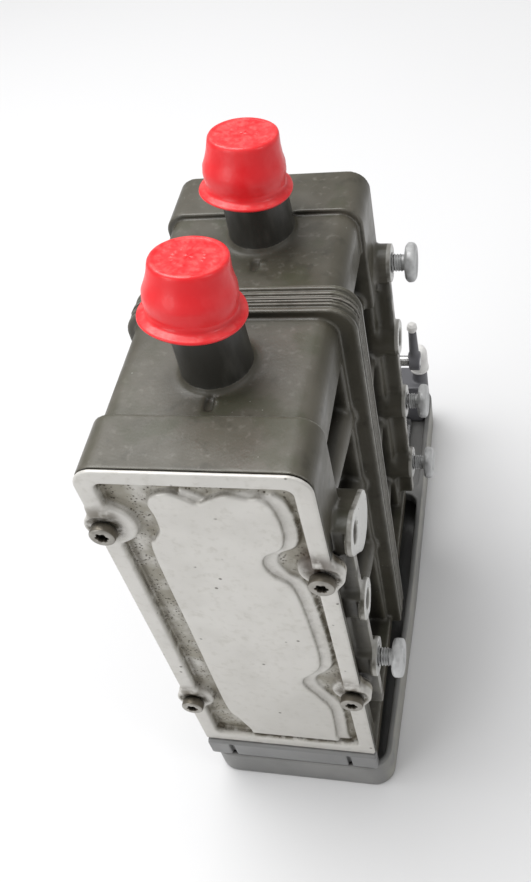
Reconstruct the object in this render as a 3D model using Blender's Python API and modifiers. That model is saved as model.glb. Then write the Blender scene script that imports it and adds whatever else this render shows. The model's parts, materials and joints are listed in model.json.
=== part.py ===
"""Hydraulic monoblock valve in a two-part cast casing.

Metres, +Z up. X = 0 is the casing's middle plane and +X points to the mounting bosses.
Y = 0 is the joint between the two casing halves and +Y points away from the front cover.
Z = 0 is the underside of the base cover.
"""
import math

import bmesh
import bpy
from mathutils import Matrix, Vector

MM = 0.001
GAP = 0.3 * MM

# Driving dimensions of the casing
COVER_W = 84 * MM
COVER_H = 213 * MM
COVER_Z = 33.6 * MM
COVER_T = 6 * MM
FRONT_Y = -83 * MM
REAR_Y = 80 * MM
GASKET_T = 0.8 * MM
COLLAR_DEPTH = 26 * MM
FLANGE_T = 4.3 * MM
MAIN_INSET = 2.2 * MM
CORNER_R = 9 * MM
WALL = 3.5 * MM
SIDE_WALL_X = 30 * MM
SKIRT_Z = 223.4 * MM
BAND_HALF = 7.2 * MM
BAND_RISE = 3.5 * MM
BAND_RIGHT_X = 47 * MM
BAND_FOOT_Z = 27.3 * MM
FOOT_Z = 23.8 * MM

# Base cover
BASE_LOW = (-42 * MM, -85 * MM, 0.0)
BASE_HIGH = (51 * MM, 165 * MM, 23.5 * MM)
BASE_WALL = 3 * MM
DECK_FRONT_Y = 84 * MM
DECK_Z = 19.5 * MM
POST_XY = [(-34 * MM, -70 * MM), (33 * MM, -70 * MM), (-34 * MM, 68 * MM), (33 * MM, 68 * MM)]
BOARD_Z = 8 * MM
BOARD_POSTS = [(-26 * MM, -51 * MM), (32 * MM, -51 * MM), (-26 * MM, 46 * MM), (32 * MM, 46 * MM)]

# Ports: (x, y) of each axis. Caps: height of the open end and of the closed end
PORTS = {"front": (0.3 * MM, -31.8 * MM), "rear": (3 * MM, 43.6 * MM)}
CAPS = {"front": (272.5 * MM, 294.5 * MM), "rear": (267 * MM, 290 * MM)}
PORT_R = 13.2 * MM
PORT_BORE_R = 9.5 * MM
PORT_TOP_Z = 283 * MM
CAP_FLANGE_R = 19 * MM
CAP_WALL = 1.8 * MM

# Mounting bosses on the right side
PAD_X = 49.6 * MM
BOSS_R = 8.4 * MM
BOSS_HOLE_R = 4.3 * MM
BOSS_DEPTH = 20.5 * MM
FRONT_BOSS_Y = -70.6 * MM
REAR_BOSS_Y = 70 * MM
BOSS_LEVELS = {"front": [200 * MM, 155.5 * MM, 109 * MM], "rear": [205 * MM, 160 * MM, 115 * MM, 65.5 * MM]}
SIDE_PAD = {"y": -57 * MM, "z": 188.7 * MM, "r": 11.5 * MM}
BOLT_R = 3.9 * MM
BOLT_HEAD_X = 55.5 * MM

# End covers: outer face, outline and (x, z) of each screw
FRONT_FACE_Y = FRONT_Y + COVER_T + GASKET_T + 2 * GAP
REAR_COVER_Y = REAR_Y + COVER_T + GASKET_T + 2 * GAP
COVERS = {
    "front": {"side": -1, "outer": FRONT_Y, "half_w": COVER_W / 2, "low": COVER_Z, "high": COVER_Z + COVER_H,
              "screws": [(-38 * MM, 213.8 * MM), (-38 * MM, 76.3 * MM), (38 * MM, 188 * MM),
                         (38 * MM, 93.7 * MM)]},
    "rear": {"side": 1, "outer": REAR_COVER_Y, "half_w": 37 * MM, "low": 42 * MM, "high": 238 * MM,
             "screws": [(-32 * MM, 222 * MM), (-32 * MM, 58 * MM), (32 * MM, 186 * MM), (32 * MM, 90 * MM)]},
}
WINDOW_LOW = (-26 * MM, 56 * MM)
WINDOW_HIGH = (24 * MM, 226 * MM)
SCREW_R = 2.9 * MM
SCREW_HEAD_R = 5 * MM
LOBE_R = 8 * MM

# Valve block and its bores
BLOCK_LOW = (-25 * MM, -64 * MM, 37.4 * MM)
BLOCK_HIGH = (24 * MM, 64 * MM, 236 * MM)
SPOOL_BORE_R = 9.2 * MM
SPOOL_R = 8.8 * MM
NECK_R = 5.5 * MM
UPPER_Z = 185 * MM
LOWER_Z = 108 * MM
RELIEF_Z = 146 * MM
GALLERY_Y = 8 * MM
TAIL_R = 5 * MM

# Hand lever on the rear deck
LEVER_Y = 127 * MM
LEVER_Z = 86 * MM
LEVER_TIP_Z = 115 * MM
LEVER_X = 47 * MM
SHAFT_R = 3 * MM

# Socket tower on the rear deck
TOWER_XY = (47.3 * MM, 148 * MM)

ROUND = 24
INNER = 16


def clear_scene():
    for obj in list(bpy.data.objects):
        bpy.data.objects.remove(obj, do_unlink=True)


def new_collection(name):
    group = bpy.data.collections.new(name)
    bpy.context.scene.collection.children.link(group)
    return group


def finish_material(name, color, roughness, metallic):
    mat = bpy.data.materials.new(name)
    mat.use_nodes = True
    shader = mat.node_tree.nodes["Principled BSDF"]
    shader.inputs["Base Color"].default_value = (*color, 1.0)
    shader.inputs["Roughness"].default_value = roughness
    shader.inputs["Metallic"].default_value = metallic
    mat.diffuse_color = (*color, 1.0)
    return mat


clear_scene()
PARTS = new_collection("hydraulic_monoblock_valve")
TOOLS = new_collection("cutters")

MATS = {
    "casting": finish_material("casting", (0.085, 0.08, 0.068), 0.5, 0.2),
    "spigot": finish_material("spigot", (0.02, 0.02, 0.02), 0.45, 0.0),
    "aluminium": finish_material("aluminium", (0.72, 0.7, 0.66), 0.45, 0.9),
    "base": finish_material("base", (0.16, 0.155, 0.145), 0.55, 0.0),
    "red": finish_material("red", (0.8, 0.01, 0.02), 0.4, 0.0),
    "white": finish_material("white", (0.85, 0.85, 0.83), 0.5, 0.0),
    "grey": finish_material("grey", (0.25, 0.25, 0.26), 0.55, 0.0),
    "steel": finish_material("steel", (0.45, 0.45, 0.46), 0.35, 1.0),
    "zinc": finish_material("zinc", (0.7, 0.74, 0.78), 0.35, 1.0),
    "brass": finish_material("brass", (0.75, 0.55, 0.25), 0.35, 1.0),
    "rubber": finish_material("rubber", (0.015, 0.015, 0.015), 0.8, 0.0),
    "coil": finish_material("coil", (0.03, 0.03, 0.032), 0.5, 0.0),
    "board": finish_material("board", (0.02, 0.14, 0.05), 0.5, 0.0),
}


def mesh_object(name, bm, group=None):
    bmesh.ops.recalc_face_normals(bm, faces=bm.faces)
    mesh = bpy.data.meshes.new(name)
    bm.to_mesh(mesh)
    bm.free()
    obj = bpy.data.objects.new(name, mesh)
    (group or TOOLS).objects.link(obj)
    if group is None:
        obj.hide_render = True
        obj.display_type = "WIRE"
    return obj


def box(name, low, high, rounds=(), group=None):
    """A box between two corners. rounds holds (axis, radius, segments, test on the edge's middle)."""
    size = [b - a for a, b in zip(low, high)]
    middle = [(a + b) / 2 for a, b in zip(low, high)]
    bm = bmesh.new()
    bmesh.ops.create_cube(bm, size=1.0, matrix=Matrix.Translation(middle) @ Matrix.Diagonal((*size, 1.0)))
    for axis, radius, segments, test in rounds:
        along = "XYZ".index(axis)
        edges = []
        for edge in bm.edges:
            run = edge.verts[1].co - edge.verts[0].co
            if abs(run[along]) > 0.99 * run.length and test((edge.verts[0].co + edge.verts[1].co) / 2):
                edges.append(edge)
        bmesh.ops.bevel(bm, geom=edges, offset=radius, segments=segments, profile=0.5, affect="EDGES")
    return mesh_object(name, bm, group)


def cone(name, start, end, radius, end_radius=None, segments=ROUND, group=None):
    """A cylinder or a cone from one point to another."""
    start, end = Vector(start), Vector(end)
    run = end - start
    turn = run.to_track_quat("Z", "Y").to_matrix().to_4x4()
    bm = bmesh.new()
    bmesh.ops.create_cone(
        bm, cap_ends=True, segments=segments, radius1=radius,
        radius2=radius if end_radius is None else end_radius, depth=run.length,
        matrix=Matrix.Translation((start + end) / 2) @ turn)
    return mesh_object(name, bm, group)


def turned(name, profile, place, axis="Z", steps=ROUND, group=None):
    """A profile of (radius, height) points, top to bottom, turned about an axis through place."""
    bm = bmesh.new()
    verts = [bm.verts.new((r, 0.0, h)) for r, h in profile]
    for a, b in zip(verts, verts[1:]):
        bm.edges.new((a, b))
    mesh = bpy.data.meshes.new(name)
    bm.to_mesh(mesh)
    bm.free()
    obj = bpy.data.objects.new(name, mesh)
    (group or TOOLS).objects.link(obj)
    if group is None:
        obj.hide_render = True
        obj.display_type = "WIRE"
    screw = obj.modifiers.new("turn", "SCREW")
    screw.steps = steps
    screw.render_steps = steps
    screw.use_merge_vertices = True
    screw.merge_threshold = 0.00001
    obj.location = place
    if axis == "Y":
        obj.rotation_euler = (-math.pi / 2, 0.0, 0.0)
    if axis == "X":
        obj.rotation_euler = (0.0, math.pi / 2, 0.0)
    return obj


def boolean(target, piece, operation):
    mod = target.modifiers.new(piece.name, "BOOLEAN")
    mod.operation = operation
    mod.solver = "EXACT"
    mod.object = piece
    return target


def cut(target, *pieces):
    for piece in pieces:
        boolean(target, piece, "DIFFERENCE")


def join(target, *pieces):
    for piece in pieces:
        boolean(target, piece, "UNION")


def paint(obj, key):
    obj.data.materials.clear()
    obj.data.materials.append(MATS[key])
    for poly in obj.data.polygons:
        poly.use_smooth = True
    if obj.data.polygons:
        obj.data.set_sharp_from_angle(angle=math.radians(35))
    return obj


def ring(name, outer, inner, top, bottom, place, axis="Z", steps=ROUND, group=None):
    profile = [(inner, top), (outer, top), (outer, bottom), (inner, bottom), (inner, top)]
    return turned(name, profile, place, axis, steps, group)


def top_edges(mid):
    return mid.z > 0.2


def every_edge(mid):
    return True


# ---------------------------------------------------------------- casing

def casing_half(name, side, port):
    """One half of the casing. side is -1 for the front half and 1 for the rear half."""
    rear = side > 0
    cover_y = REAR_Y if rear else FRONT_FACE_Y
    screws = COVERS["rear" if rear else "front"]["screws"]
    joint_y = side * (GASKET_T / 2 + GAP)
    collar_y = (REAR_Y if rear else FRONT_Y) - side * COLLAR_DEPTH
    half_w = COVER_W / 2
    top_z = COVER_Z + COVER_H
    main_w = half_w - MAIN_INSET
    main_top = top_z - MAIN_INSET

    def span(a, b):
        return min(a, b), max(a, b)

    past_joint = joint_y - side * 1 * MM
    y0, y1 = span(cover_y - side * 4 * MM, past_joint)
    half = box(name, (-main_w, y0, COVER_Z - 3 * MM), (main_w, y1, main_top),
               [("Y", CORNER_R - MAIN_INSET / 2, 4, top_edges)], PARTS)
    y0, y1 = span(collar_y + side * 10 * MM, joint_y + side * (BAND_HALF + 2 * MM))
    cut(half, box(name + "_recess", (SIDE_WALL_X, y0, FOOT_Z - 10 * MM), (0.07, y1, SKIRT_Z)))
    y0, y1 = span(cover_y, collar_y)
    collar = box(name + "_collar", (-half_w, y0, COVER_Z - 2 * MM), (half_w, y1, top_z),
                 [("Y", CORNER_R, 4, top_edges)])
    y0, y1 = span(collar_y - side * 5 * MM, cover_y - side * FLANGE_T)
    cut(collar, box(name + "_collar_recess", (SIDE_WALL_X + 0.4 * MM, y0, 0.0), (0.07, y1, 192 * MM)))
    y0, y1 = span(joint_y - side * 2 * MM, side * BAND_HALF)
    band = box(name + "_band", (-main_w - BAND_RISE, y0, BAND_FOOT_Z),
               (BAND_RIGHT_X, y1, main_top + BAND_RISE),
               [("Y", CORNER_R + 1 * MM, 4, top_edges)])
    foot_end = (REAR_Y if rear else FRONT_Y) - side * 2 * MM
    y0, y1 = span(foot_end, joint_y - side * 3 * MM)
    foot = box(name + "_foot", (-half_w + 1 * MM, y0, FOOT_Z), (half_w, y1, COVER_Z - GAP))
    join(half, collar, band, foot)
    y0, y1 = span(joint_y, -side * 20 * MM)
    cut(half, box(name + "_joint_face", (-0.1, y0, -0.1), (0.1, y1, 0.4)))
    boss_y = REAR_BOSS_Y if rear else FRONT_BOSS_Y
    levels = BOSS_LEVELS["rear" if rear else "front"]
    for index, level in enumerate(levels):
        join(half, cone(f"{name}_boss_{index}", (SIDE_WALL_X - 2 * MM, boss_y, level),
                        (PAD_X, boss_y, level), BOSS_R, segments=INNER))
        rib = cone(f"{name}_rib_{index}", (SIDE_WALL_X, boss_y - side * 2 * MM, level - 9 * MM),
                   (SIDE_WALL_X + 4 * MM, side * 5 * MM, level - 9 * MM), 7 * MM, segments=16)
        join(half, rib)
    web_low = levels[-1] - (24 * MM if rear else 40 * MM)
    web = box(name + "_web", (SIDE_WALL_X - 2.4 * MM, boss_y - 2.5 * MM, web_low),
              (PAD_X - 1.6 * MM, boss_y + 2.5 * MM, levels[0]))
    join(half, web)
    if not rear:
        join(half, cone(name + "_side_pad", (SIDE_WALL_X - 2.2 * MM, SIDE_PAD["y"], SIDE_PAD["z"]),
                        (PAD_X - GAP, SIDE_PAD["y"], SIDE_PAD["z"]), SIDE_PAD["r"], segments=ROUND))
    end_wall = -5 * MM if rear else 30 * MM
    y0, y1 = span(cover_y + side * end_wall, joint_y - side * 5 * MM)
    cut(half, box(name + "_cavity", (-half_w + MAIN_INSET + WALL, y0, COVER_Z + WALL),
                  (SIDE_WALL_X - WALL, y1, main_top - WALL)))
    if rear:
        cut(half, box(name + "_window", (WINDOW_LOW[0], REAR_Y - 9 * MM, WINDOW_LOW[1]),
                      (WINDOW_HIGH[0], REAR_Y + 9 * MM, WINDOW_HIGH[1])))
    else:
        clear = box(name + "_cover_room", (0.0, FRONT_Y - 5 * MM, COVER_Z - GAP / 2),
                    (half_w + 4.6 * MM, cover_y, top_z))
        cut(half, clear)
    for index, (sx, sz) in enumerate(screws):
        inner = cover_y - side * 14 * MM
        reach = cone(f"{name}_pillar_{index}", (sx, cover_y - side * 0.2 * MM, sz), (sx, inner, sz),
                     6 * MM, segments=INNER)
        join(half, reach)
    for index, (sx, sz) in enumerate(screws):
        cut(half, cone(f"{name}_screw_hole_{index}", (sx, cover_y + side * 5 * MM, sz),
                       (sx, cover_y - side * 12 * MM, sz), SCREW_R + GAP + 0.1 * MM, segments=INNER))
    for index, level in enumerate(levels):
        cut(half, cone(f"{name}_boss_hole_{index}", (PAD_X - BOSS_DEPTH, boss_y, level),
                       (PAD_X + 5 * MM, boss_y, level), BOSS_HOLE_R, segments=INNER))
    for index, (bx, by) in enumerate(POST_XY):
        if by * side > 0:
            cut(half, cone(f"{name}_base_hole_{index}", (bx, by, 0.0), (bx, by, 35 * MM), 2.4 * MM,
                           segments=16))
    y0, y1 = span(0.0, side * 50 * MM)
    cut(half, box(name + "_wire_slot", (-20 * MM, y0, 0.0), (10 * MM, y1, COVER_Z + WALL + 1 * MM)))
    px, py = PORTS[port]
    top = main_top - WALL
    spigot = [(0.0, PORT_TOP_Z), (PORT_R - 1.4 * MM, PORT_TOP_Z), (PORT_R - 0.6 * MM, PORT_TOP_Z - 1.5 * MM),
              (PORT_R, main_top + 3 * MM), (PORT_R + 2.5 * MM, main_top), (PORT_R + 2.5 * MM, top + 1 * MM),
              (0.0, top + 1 * MM)]
    join(half, turned(name + "_spigot", spigot, (px, py, 0.0)))
    cut(half, cone(name + "_port_bore", (px, py, 220 * MM), (px, py, PORT_TOP_Z + 5 * MM), PORT_BORE_R,
                   segments=28))
    return paint(half, "casting")


def plate_with_lobes(name, end, y0, y1):
    """A cover-shaped plate with a round lobe at each screw."""
    side = COVERS[end]
    plate = box(name, (-side["half_w"], y0 - 1 * MM, side["low"]),
                (side["half_w"], y1 + 1 * MM, side["high"]),
                [("Y", CORNER_R, 4, top_edges)], PARTS)
    for index, (sx, sz) in enumerate(side["screws"]):
        join(plate, cone(f"{name}_lobe_{index}", (sx, y0 - 2 * MM, sz), (sx, y1 + 2 * MM, sz), LOBE_R,
                         segments=INNER))
    for index, (low, high) in enumerate(((y0 - 9 * MM, y0), (y1, y1 + 9 * MM))):
        cut(plate, box(f"{name}_face_{index}", (-0.1, low, -0.1), (0.1, high, 0.4)))
    return plate


def cover(name, end):
    """End cover: a plate with a shallow pocket and a raised panel in it."""
    side, outer, half_w = COVERS[end]["side"], COVERS[end]["outer"], COVERS[end]["half_w"]
    low, high = COVERS[end]["low"], COVERS[end]["high"]
    inner = outer - side * COVER_T
    plate = plate_with_lobes(name, end, min(outer, inner), max(outer, inner))
    rim = 7 * MM
    depth = 3.8 * MM
    y0, y1 = sorted((outer + side * 5 * MM, outer - side * depth))
    cut(plate, box(name + "_pocket", (-half_w + rim, y0, low + rim), (half_w - rim, y1, high - rim)))
    y0, y1 = sorted((outer - side * 0.6 * MM, outer - side * (depth + 1 * MM)))
    join(plate, box(name + "_panel", (-half_w + 17 * MM, y0, low + 14 * MM),
                    (half_w - 16 * MM, y1, high - 16 * MM),
                    [("Y", 6 * MM, 3, every_edge)]))
    for index, (sx, sz) in enumerate(COVERS[end]["screws"]):
        join(plate, cone(f"{name}_seat_{index}", (sx, inner + side * 1 * MM, sz),
                         (sx, outer - side * 0.5 * MM, sz), LOBE_R - 1 * MM, segments=INNER))
        cut(plate, cone(f"{name}_hole_{index}", (sx, inner - side * 5 * MM, sz),
                        (sx, outer + side * 5 * MM, sz), SCREW_R + GAP + 0.1 * MM, segments=INNER))
    if end == "rear":
        holes = (("tube", UPPER_Z, 10.2 * MM), ("tail", LOWER_Z, 8 * MM), ("relief", RELIEF_Z, 6.4 * MM))
        for tag, level, radius in holes:
            cut(plate, cone(f"{name}_{tag}_hole", (0.0, inner - side * 5 * MM, level),
                            (0.0, outer + side * 5 * MM, level), radius))
    return paint(plate, "aluminium")


def cover_gasket(name, end):
    side = COVERS[end]["side"]
    outer = COVERS[end]["outer"] - side * (COVER_T + GAP)
    y0, y1 = sorted((outer, outer - side * GASKET_T))
    seal = plate_with_lobes(name, end, y0, y1)
    rear = end == "rear"
    edge = MAIN_INSET + WALL
    low = WINDOW_LOW if rear else (-COVER_W / 2 + edge, COVER_Z + WALL)
    high = WINDOW_HIGH if rear else (COVER_W / 2 - edge, COVER_Z + COVER_H - edge)
    window = box(name + "_window", (low[0], y0 - 5 * MM, low[1]), (high[0], y1 + 5 * MM, high[1]))
    for index, (sx, sz) in enumerate(COVERS[end]["screws"]):
        cut(window, cone(f"{name}_eye_{index}", (sx, y0 - 9 * MM, sz), (sx, y1 + 9 * MM, sz), 6 * MM,
                         segments=INNER))
    cut(seal, window)
    for index, (sx, sz) in enumerate(COVERS[end]["screws"]):
        cut(seal, cone(f"{name}_eye_hole_{index}", (sx, y0 - 5 * MM, sz), (sx, y1 + 5 * MM, sz),
                       SCREW_R + GAP, segments=INNER))
    return paint(seal, "rubber")


def cover_screws(name, end):
    side, outer = COVERS[end]["side"], COVERS[end]["outer"]
    seat = outer + side * GAP
    tip = outer - side * 17.5 * MM
    head = seat + side * 4.2 * MM
    for index, (sx, sz) in enumerate(COVERS[end]["screws"], 1):
        screw = cone(f"{name}_{index}", (sx, seat, sz), (sx, head, sz), SCREW_HEAD_R, segments=INNER,
                     group=PARTS)
        join(screw, cone(f"{name}_shank_{index}", (sx, seat + side * 1 * MM, sz), (sx, tip, sz), SCREW_R,
                         segments=16))
        cut(screw, cone(f"{name}_socket_{index}", (sx, head - side * 2 * MM, sz),
                        (sx, head + side * 5 * MM, sz),
                        2.3 * MM, segments=6))
        paint(screw, "steel")


def joint_gasket():
    half_w = COVER_W / 2 - MAIN_INSET
    top = COVER_Z + COVER_H - MAIN_INSET
    y = GASKET_T / 2
    seal = box("housing_gasket", (-half_w - BAND_RISE, -y, BAND_FOOT_Z), (BAND_RIGHT_X, y, top + BAND_RISE),
               [("Y", CORNER_R + 1 * MM, 4, top_edges)], PARTS)
    cut(seal, box("joint_window", (-half_w + WALL, -5 * MM, COVER_Z + WALL),
                  (SIDE_WALL_X - WALL, 5 * MM, top - WALL)))
    cut(seal, box("joint_slot", (-20 * MM, -5 * MM, 0.0), (10 * MM, 5 * MM, COVER_Z + WALL + 1 * MM)))
    return paint(seal, "rubber")


# ---------------------------------------------------------------- base

def base_cover():
    x0, y0, z0 = BASE_LOW
    x1, y1, z1 = BASE_HIGH
    tray = box("base_cover", BASE_LOW, BASE_HIGH, [("Z", 10 * MM, 4, every_edge)], PARTS)
    inner_r = 7 * MM
    cut(tray, box("tray_pocket", (x0 + BASE_WALL, y0 + BASE_WALL, BASE_WALL),
                  (x1 - BASE_WALL, DECK_FRONT_Y - 4 * MM, z1 + 5 * MM),
                  [("Z", inner_r, 3, lambda mid: mid.y < 0)]))
    cut(tray, box("deck_hollow", (x0 + BASE_WALL, DECK_FRONT_Y - 10 * MM, BASE_WALL),
                  (x1 - BASE_WALL, y1 - BASE_WALL, DECK_Z - 3 * MM),
                  [("Z", inner_r, 3, lambda mid: mid.y > 0.1)]))
    cut(tray, box("deck_recess", (x0 + BASE_WALL, DECK_FRONT_Y, DECK_Z),
                  (x1 - BASE_WALL, y1 - BASE_WALL, z1 + 5 * MM),
                  [("Z", inner_r, 3, lambda mid: mid.y > 0.1)]))
    for index, (px, py) in enumerate(POST_XY):
        join(tray, cone(f"post_{index}", (px, py, 1 * MM), (px, py, z1), 6 * MM, segments=INNER))
        cut(tray, cone(f"post_hole_{index}", (px, py, -5 * MM), (px, py, z1 + 5 * MM), 2.4 * MM,
                       segments=16),
            cone(f"post_sink_{index}", (px, py, -5 * MM), (px, py, 4.5 * MM), 4.6 * MM, segments=16))
    for index, (px, py) in enumerate(BOARD_POSTS):
        join(tray, cone(f"board_post_{index}", (px, py, 1 * MM), (px, py, BOARD_Z - GAP), 2.5 * MM,
                        segments=12))
    tx, ty = TOWER_XY
    cut(tray, cone("pin_way", (tx - 4 * MM, ty, 10 * MM), (tx - 4 * MM, ty, 30 * MM), 2.2 * MM, segments=16))
    return paint(tray, "base")


def base_screws():
    for index, (px, py) in enumerate(POST_XY, 1):
        screw = cone(f"base_screw_{index}", (px, py, 1 * MM), (px, py, 4.2 * MM), 4.2 * MM, segments=16,
                     group=PARTS)
        join(screw, cone(f"base_shank_{index}", (px, py, 3 * MM), (px, py, 32 * MM), 2.0 * MM, segments=12))
        paint(screw, "steel")


def control_board():
    board = box("control_board", (-30 * MM, -55 * MM, BOARD_Z), (36 * MM, 50 * MM, BOARD_Z + 1.6 * MM), (),
                PARTS)
    chips = [(-22, -40, 12, 12, 3), (0, -30, 16, 10, 4), (10, 0, 10, 20, 6), (-20, 10, 14, 18, 5),
             (15, 35, 20, 8, 8)]
    for index, (cx, cy, w, d, h) in enumerate(chips):
        join(board, box(f"chip_{index}", (cx * MM, cy * MM, BOARD_Z + 1 * MM),
                        ((cx + w) * MM, (cy + d) * MM, BOARD_Z + (1.6 + h) * MM)))
    return paint(board, "board")


# ---------------------------------------------------------------- hydraulics

def valve_block():
    block = box("valve_block", BLOCK_LOW, BLOCK_HIGH, (), PARTS)
    y0, y1 = BLOCK_LOW[1] - 5 * MM, BLOCK_HIGH[1] + 5 * MM
    for tag, level in (("upper", UPPER_Z), ("lower", LOWER_Z)):
        cut(block, cone(tag + "_bore", (0.0, y0, level), (0.0, y1, level), SPOOL_BORE_R))
    fx, fy = PORTS["front"]
    rx, ry = PORTS["rear"]
    top = BLOCK_HIGH[2] + 5 * MM
    cut(block, cone("check_bore", (fx, fy, 204 * MM), (fx, fy, top), 9.2 * MM, segments=INNER))
    cut(block, cone("check_way", (fx, fy, UPPER_Z), (fx, fy, 206 * MM), 5.5 * MM, segments=16))
    cut(block, cone("return_way", (rx, ry, UPPER_Z), (rx, ry, top), 8 * MM, segments=INNER))
    cut(block, cone("gallery", (0.0, GALLERY_Y, LOWER_Z), (0.0, GALLERY_Y, top), 5 * MM, segments=16))
    cut(block, cone("gallery_seat", (0.0, GALLERY_Y, 226 * MM), (0.0, GALLERY_Y, top), 7 * MM, segments=16))
    cut(block, cone("relief_bore", (0.0, 24 * MM, RELIEF_Z), (0.0, y1, RELIEF_Z), 8 * MM, segments=INNER))
    cut(block, cone("relief_way", (0.0, GALLERY_Y, RELIEF_Z), (0.0, 26 * MM, RELIEF_Z), 3 * MM, segments=16))
    return paint(block, "aluminium")


def spool_profile(front, rear, tail):
    """Lands and necks of a spool from its rear end to its front end, as radius and height."""
    profile = [(0.0, tail)]
    if tail > rear:
        profile += [(TAIL_R, tail), (TAIL_R, rear)]
    lands = [(rear, rear - 18 * MM), (14 * MM, -2 * MM), (-26 * MM, front)]
    for start, end in lands:
        profile += [(NECK_R if start != rear else SPOOL_R, start), (SPOOL_R, start), (SPOOL_R, end),
                    (NECK_R, end)]
    profile[-1] = (0.0, front)
    clean = [profile[0]]
    for point in profile[1:]:
        if point != clean[-1]:
            clean.append(point)
    return clean


def spools():
    upper = turned("upper_spool", spool_profile(-46 * MM, 60 * MM, 60 * MM), (0.0, 0.0, UPPER_Z), "Y",
                   INNER, PARTS)
    paint(upper, "steel")
    tail_end = 137 * MM
    lower = turned("lower_spool", spool_profile(-46 * MM, 60 * MM, tail_end), (0.0, 0.0, LOWER_Z), "Y",
                   INNER, PARTS)
    join(lower, cone("tail_head", (0.0, LEVER_Y - 9 * MM, LOWER_Z), (0.0, tail_end + 1 * MM, LOWER_Z),
                     7 * MM,
                     segments=INNER))
    cut(lower, box("tail_slot", (-3 * MM, LEVER_Y - 3.5 * MM, LOWER_Z - 12 * MM),
                   (3 * MM, LEVER_Y + 3.5 * MM, LOWER_Z + 12 * MM)))
    paint(lower, "steel")


def coil_spring(name, start, end, radius, wire, turns):
    """A coil from start to end, as a round wire along a helix."""
    start, end = Vector(start), Vector(end)
    run = end - start
    turn = run.to_track_quat("Z", "Y").to_matrix()
    per_turn = 8
    count = int(turns * per_turn)
    curve = bpy.data.curves.new(name + "_wire", "CURVE")
    curve.dimensions = "3D"
    curve.bevel_depth = wire / 2
    curve.bevel_resolution = 0
    curve.use_fill_caps = True
    line = curve.splines.new("POLY")
    line.points.add(count)
    for index in range(count + 1):
        angle = 2 * math.pi * index / per_turn
        local = Vector((radius * math.cos(angle), radius * math.sin(angle), run.length * index / count))
        line.points[index].co = (*(start + turn @ local), 1.0)
    obj = bpy.data.objects.new(name, curve)
    PARTS.objects.link(obj)
    obj.data.materials.append(MATS["steel"])
    return obj


def spring_plug(name, level):
    """Plug that closes a spool bore's front end and carries the spring."""
    front = BLOCK_LOW[1]
    profile = [(0.0, front + 4 * MM), (SPOOL_R, front + 4 * MM), (SPOOL_R, front - GAP),
               (12 * MM, front - GAP), (12 * MM, front - 4 * MM), (0.0, front - 4 * MM)]
    plug = turned(name, profile, (0.0, 0.0, level), "Y", INNER, PARTS)
    return paint(plug, "brass")


def return_springs():
    for tag, level in (("upper", UPPER_Z), ("lower", LOWER_Z)):
        spring_plug(tag + "_spring_plug", level)
        coil_spring(tag + "_return_spring", (0.0, -58.9 * MM, level), (0.0, -47.2 * MM, level), 6.5 * MM,
                    1.6 * MM, 4)


def check_valve():
    x, y = PORTS["front"]
    seat = ring("check_seat", 8.8 * MM, 4.5 * MM, 231 * MM, 226 * MM, (x, y, 0.0), steps=INNER, group=PARTS)
    paint(seat, "brass")
    poppet = turned("check_poppet", [(0.0, 226.6 * MM), (3.6 * MM, 226.6 * MM), (6.6 * MM, 223.6 * MM),
                                     (6.6 * MM, 221 * MM), (3.2 * MM, 221 * MM), (3.2 * MM, 216 * MM),
                                     (0.0, 216 * MM)],
                    (x, y, 0.0), steps=INNER, group=PARTS)
    paint(poppet, "steel")
    coil_spring("check_spring", (x, y, 205.2 * MM), (x, y, 219.8 * MM), 5.4 * MM, 1.2 * MM, 5)


def relief_valve():
    place = (0.0, 0.0, RELIEF_Z)
    paint(ring("relief_seat", 7.6 * MM, 2.6 * MM, 29 * MM, 24.4 * MM, place, "Y", INNER, PARTS), "brass")
    poppet = turned("relief_poppet", [(0.0, 44 * MM), (2.4 * MM, 44 * MM), (2.4 * MM, 38 * MM),
                                      (5.6 * MM, 38 * MM),
                                      (5.6 * MM, 33 * MM), (2.0 * MM, 28.6 * MM), (0.0, 28.6 * MM)],
                    place, "Y", INNER, PARTS)
    paint(poppet, "steel")
    coil_spring("relief_spring", (0.0, 39.2 * MM, RELIEF_Z), (0.0, 58 * MM, RELIEF_Z), 4.6 * MM, 1.5 * MM, 5)
    adjuster = turned("relief_adjuster", [(0.0, 99 * MM), (4.2 * MM, 99 * MM), (5.2 * MM, 98 * MM),
                                          (5.2 * MM, 70 * MM),
                                          (7.6 * MM, 70 * MM), (7.6 * MM, 59 * MM), (0.0, 59 * MM)],
                      place, "Y", INNER, PARTS)
    cut(adjuster, cone("adjuster_key", (0.0, 94 * MM, RELIEF_Z), (0.0, 104 * MM, RELIEF_Z), 2.6 * MM,
                       segments=6))
    paint(adjuster, "steel")
    nut = cone("relief_locknut", (0.0, REAR_COVER_Y + GAP, RELIEF_Z),
               (0.0, REAR_COVER_Y + 6 * MM, RELIEF_Z), 9 * MM,
               segments=6, group=PARTS)
    cut(nut, cone("locknut_bore", (0.0, REAR_COVER_Y - 5 * MM, RELIEF_Z),
                  (0.0, REAR_COVER_Y + 12 * MM, RELIEF_Z), 5.6 * MM,
                  segments=INNER))
    paint(nut, "zinc")


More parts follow.
